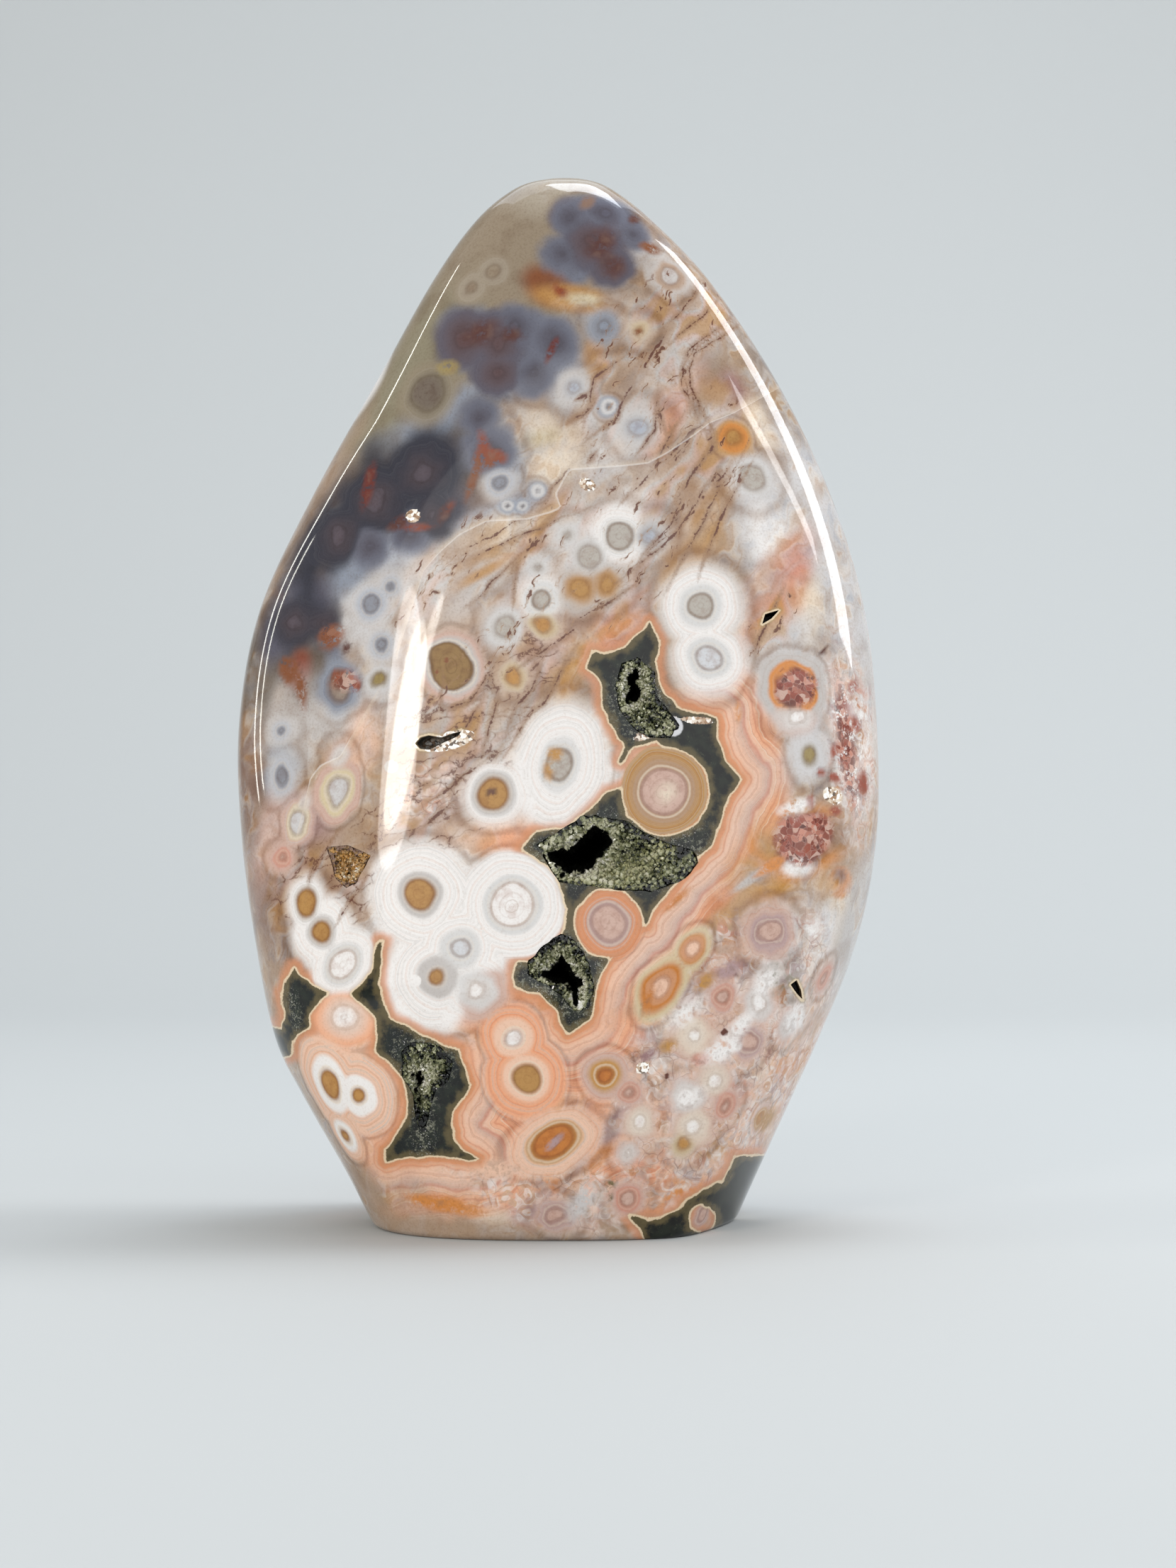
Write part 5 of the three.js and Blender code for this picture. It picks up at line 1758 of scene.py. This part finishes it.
def veins_and_lines(paint, here):
    """Bold brown veins, faint wavy ones along one slant, short dashes, the pale line, and the slits with
    painted shade inside their mouths.
    """
    bold = here.width - here.side.absolute() + (here.fine - 0.5) * 0.45 + (here.middling - 0.5) * 0.7
    paint = paint.mix(bold.step(-0.9, 0.0, 0.7) * here.streak.step(0.34, 0.52), "dun")
    paint = paint.mix(bold.step(-0.1, 0.08, 0.9), "vein")
    bent_little = here.place.pushed(2.2, 0.5, 2)
    field = bent_little.turned(57, (0.2, 1.0, 1.15)).noise(1, 3, 0.6) + (here.broad - 0.5) * 0.16
    paint = paint.mix(field.step(0.55, 0.65, 0.5) * here.veins, "tan")
    paint = paint.mix(field.step(0.61, 0.67, 0.5) * here.veins.step(0.1, 0.5), "dun")
    paint = paint.mix(field.step(0.65, 0.675, 0.85) * here.veins.step(0.1, 0.5), "vein")
    scales = bent_little.turned(20, (0.2, 0.6, 0.66)).cell_edge(0.8)
    scales = scales + (here.fine - 0.5) * 0.12 + (here.milk - 0.5) * 0.25 - (here.middling - 0.5) * 0.25
    bare = here.dashes.step(0.1, 0.6) * here.outer.step(-0.5, 0.6)
    paint = paint.mix(scales.step(0.12, 0.02, 0.35) * bare, "dun")
    paint = paint.mix(scales.step(0.03, 0.01, 0.7) * bare * here.fine.step(0.4, 0.5), "vein")
    line_side, line_width, _ = stored(here.place, "crack").parts()
    line_core = line_width - line_side.absolute() + 0.02
    paint = paint.mix(line_core.step(-0.08, 0.04, 0.4), "white")
    beside = line_side.step(0.9, 0.0) * line_side.step(-0.02, 0.02) * line_width.step(-0.8, -0.3)
    paint = paint.mix(beside * 0.3, "cream")
    slit = here.slit + (here.fine - 0.5) * 0.3
    paint = paint.mix(slit.step(0.6, 0.3, 0.4), "olive_gold")
    paint = paint.mix(slit.step(0.32, 0.15, 0.9) * slit.step(-0.2, -0.05), "rim")
    # Painted shade: inside a slit's mouth the colour turns to dark taupe.
    return paint.mix(slit.step(-0.1, -0.4, 0.9), "shaded_taupe")


def green_windows(paint, here):
    """Halo, rim and inside of the windows, then glitter and small marks."""
    edge = here.window + (here.fine - 0.5) * 0.3
    halo = (edge + here.waver).step(2.0, 0.6, 0.75) * here.outer.step(-1.0, 0.2)
    paint = paint.mix(halo, "deep_salmon")
    paint = paint.mix((edge + here.waver).step(0.9, 0.3, 0.35), "tan")
    paint = paint.mix(edge.step(0.42, 0.24, 0.9), "rim")
    inside = here.middling.step(0.38, 0.62).ramp((0.0, "dark_green"), (1.0, "green"))
    inside = inside.mix(here.broad.step(0.5, 0.62, 0.6), "teal")
    inside = inside.mix((edge + (here.middling - 0.5) * 2).step(-1.1, -0.1, 0.65), "olive")
    flecks = here.place.noise(1.7, 4, 0.8)
    inside = inside.mix((flecks + here.druse * 0.1).step(0.58, 0.7, 0.4), "druse")
    inside = inside.mix(flecks.step(0.53, 0.63, 0.7) * here.druse, "druse_light")
    inside = inside.mix(here.place.noise(5.0, 2, 0.7).step(0.64, 0.7) * here.druse * 0.8, "white")
    paint = paint.mix(edge.step(0.12, 0.0), inside)
    paint = paint.mix((here.sparkle + (here.fine - 0.5) * 0.5).step(0.45, 0.55), here.glitter)
    near_speck = stored(here.place, "speck_colour", "Alpha")
    paint = paint.mix(near_speck.step(0.15, -0.1), stored(here.place, "speck_colour", "Color"))
    return paint.tint(here.fine.step(0.45, 0.8, 0.2), "tan")



def jasper():
    """The polished stone, with unpolished walls in the pockets and slits that are painted darker inwards,
    as shade.
    """
    material, shader, place = new_material("polished_jasper")
    here = stone_fields(place)
    paint = ground_layers(here)
    for layer in (
        agate_bands, broken_orbs, whole_orbs, stains_and_grains, veins_and_lines, green_windows
    ):
        paint = layer(paint, here)
    wall = here.under.step(0.12, 0.35)
    # Painted shade: the walls turn dark green and then near black the deeper they lie in a pocket or slit.
    shaded_wall = paint.mix(here.under.step(0.2, 2.5), "dark_green").mix(here.under.step(2.0, 7.0), "shadow")
    shaded_wall = shaded_wall.mix(here.sparkle * here.fine.step(0.3, 0.6), here.glitter)
    plug(shader, "Base Color", paint.mix(wall, shaded_wall))
    plug(shader, "Roughness", wall * 0.45 + 0.045)
    shader.inputs["IOR"].default_value = 1.47
    return material


def quartz(name, *tones):
    """Small glossy crystals in tones from dark to light, with painted shade darkening them into the pocket
    and painted light where light comes through.
    """
    material, shader, place = new_material(name)
    depth, from_hole, lit = stored(place, "sunk").parts()
    margin = stored(place, "margin").part(0)
    cloud = place.noise(0.5, 3)
    each = place.cell_tint(2.4)
    # Painted shade and painted light: the crystals darken with depth behind the face, and where light
    # comes through the crust they are lifted and mixed towards the glow colour.
    shade = each * 0.5 + from_hole.step(2.6, 0.2, 0.3) + (cloud - 0.5) * 0.8 - depth * 0.05 + lit * 0.25
    shade = shade - (margin + (cloud - 0.5) * 2).step(1.2, 0.0, 0.3)
    paint = shade.ramp(*tones).mix(lit * each.step(0.2, 0.7, 0.7), "glow")
    plug(shader, "Base Color", paint)
    shader.inputs["Roughness"].default_value = 0.12
    shader.inputs["IOR"].default_value = 1.54
    nodes, links = material.node_tree.nodes, material.node_tree.links
    # Painted shade: inside the hole's outline the crystals are a plain near-black diffuse instead of
    # glossy quartz.
    dark = nodes.new("ShaderNodeBsdfDiffuse")
    dark.inputs["Color"].default_value = tone("shadow")
    both = nodes.new("ShaderNodeMixShader")
    links.new(from_hole.step(0.05, -0.2).socket, both.inputs[0])
    links.new(shader.outputs[0], both.inputs[1])
    links.new(dark.outputs[0], both.inputs[2])
    links.new(both.outputs[0], nodes["Material Output"].inputs["Surface"])
    return material


def plain(name, paint, roughness):
    material = bpy.data.materials.new(name)
    material.use_nodes = True
    shader = material.node_tree.nodes["Principled BSDF"]
    shader.inputs["Base Color"].default_value = (*paint, 1)
    shader.inputs["Roughness"].default_value = roughness
    return material


# The set


def make_camera():
    data = bpy.data.cameras.new("camera")
    data.sensor_width = SENSOR
    data.lens = SENSOR * -CAMERA.y / FRAME_HEIGHT
    data.clip_start = 0.01
    camera = new_object("camera", data)
    camera.location = CAMERA * MM
    camera.rotation_euler = (math.pi / 2, 0, 0)
    scene.camera = camera


def make_floor(material):
    """A floor that sweeps up behind the stone into a plain wall."""
    width, front, back, rise, bend = 2200, -1500, 820, 1800, 420
    profile = [(front, 0), (back - bend, 0)]
    profile += [
        (back - bend + bend * math.sin(a), bend - bend * math.cos(a))
        for a in np.radians(np.arange(5, 90, 5))
    ]
    profile += [(back, bend), (back, rise)]
    vertices = [(x * MM, y * MM, z * MM) for y, z in profile for x in (-width, width)]
    faces = [(2 * i, 2 * i + 1, 2 * i + 3, 2 * i + 2) for i in range(len(profile) - 1)]
    mesh = bpy.data.meshes.new("floor")
    mesh.from_pydata(vertices, [], faces)
    mesh.polygons.foreach_set("use_smooth", [True] * len(mesh.polygons))
    mesh.materials.append(material)
    floor = new_object("floor", mesh)


def toward(azimuth, elevation):
    """Where a lamp stands, by its angle from straight behind the stone and its height in degrees."""
    a, e = math.radians(azimuth), math.radians(elevation)
    across = Vector((math.sin(a) * math.cos(e), math.cos(a) * math.cos(e), math.sin(e)))
    return MIDDLE + LAMP_DISTANCE * across


def make_lamp(name, low, high, width, watts, tint=(1, 1, 1), shape="RECTANGLE"):
    """A flat lamp that runs from one direction to another and faces the stone."""
    low, high = toward(*low), toward(*high)
    data = bpy.data.lights.new(name, "AREA")
    data.shape = shape
    data.size, data.size_y = width * MM, (high - low).length * MM
    data.energy = watts
    data.color = tint
    lamp = new_object(name, data)
    place = (low + high) / 2
    lamp.location = place * MM
    back = (place - MIDDLE).normalized()
    up = (high - low).normalized()
    side = up.cross(back).normalized()
    turn = Matrix((side, back.cross(side), back)).transposed()
    lamp.rotation_euler = turn.to_euler()


def make_world(tint, strength):
    world = bpy.data.worlds.new("soft light")
    world.use_nodes = True
    background = world.node_tree.nodes["Background"]
    background.inputs["Color"].default_value = (*tint, 1)
    background.inputs["Strength"].default_value = strength
    scene.world = world


make_camera()
make_floor(plain("pale_floor", FLOOR_PAINT, FLOOR_ROUGHNESS))
make_world(SKY_TINT, SKY_STRENGTH)
for lamp in LAMPS:
    make_lamp(*lamp)

stone = polished_body()
bpy.context.view_layer.update()
uncut = BVHTree.FromObject(stone, bpy.context.evaluated_depsgraph_get())
cut_pockets(stone, uncut)
paint_pattern(stone.data)
stone.data.materials.clear()
stone.data.materials.append(jasper())
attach(stone, "root")
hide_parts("stone")

materials = {slot: quartz(slot, *tones) for slot, tones in QUARTZ_TONES.items()}
points_tree = quartz_points()
for seed, name in enumerate(POCKETS):
    piece, face = crust(name, uncut, seed)
    slot = "golden_quartz" if name == "crystals_golden" else "green_quartz"
    grow_quartz(piece, points_tree, POCKETS[name]["crystal"], materials[slot], seed)
    grind_flush(piece)
    store_depth(piece, name, face)
    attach(piece, "root")
    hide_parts(name)
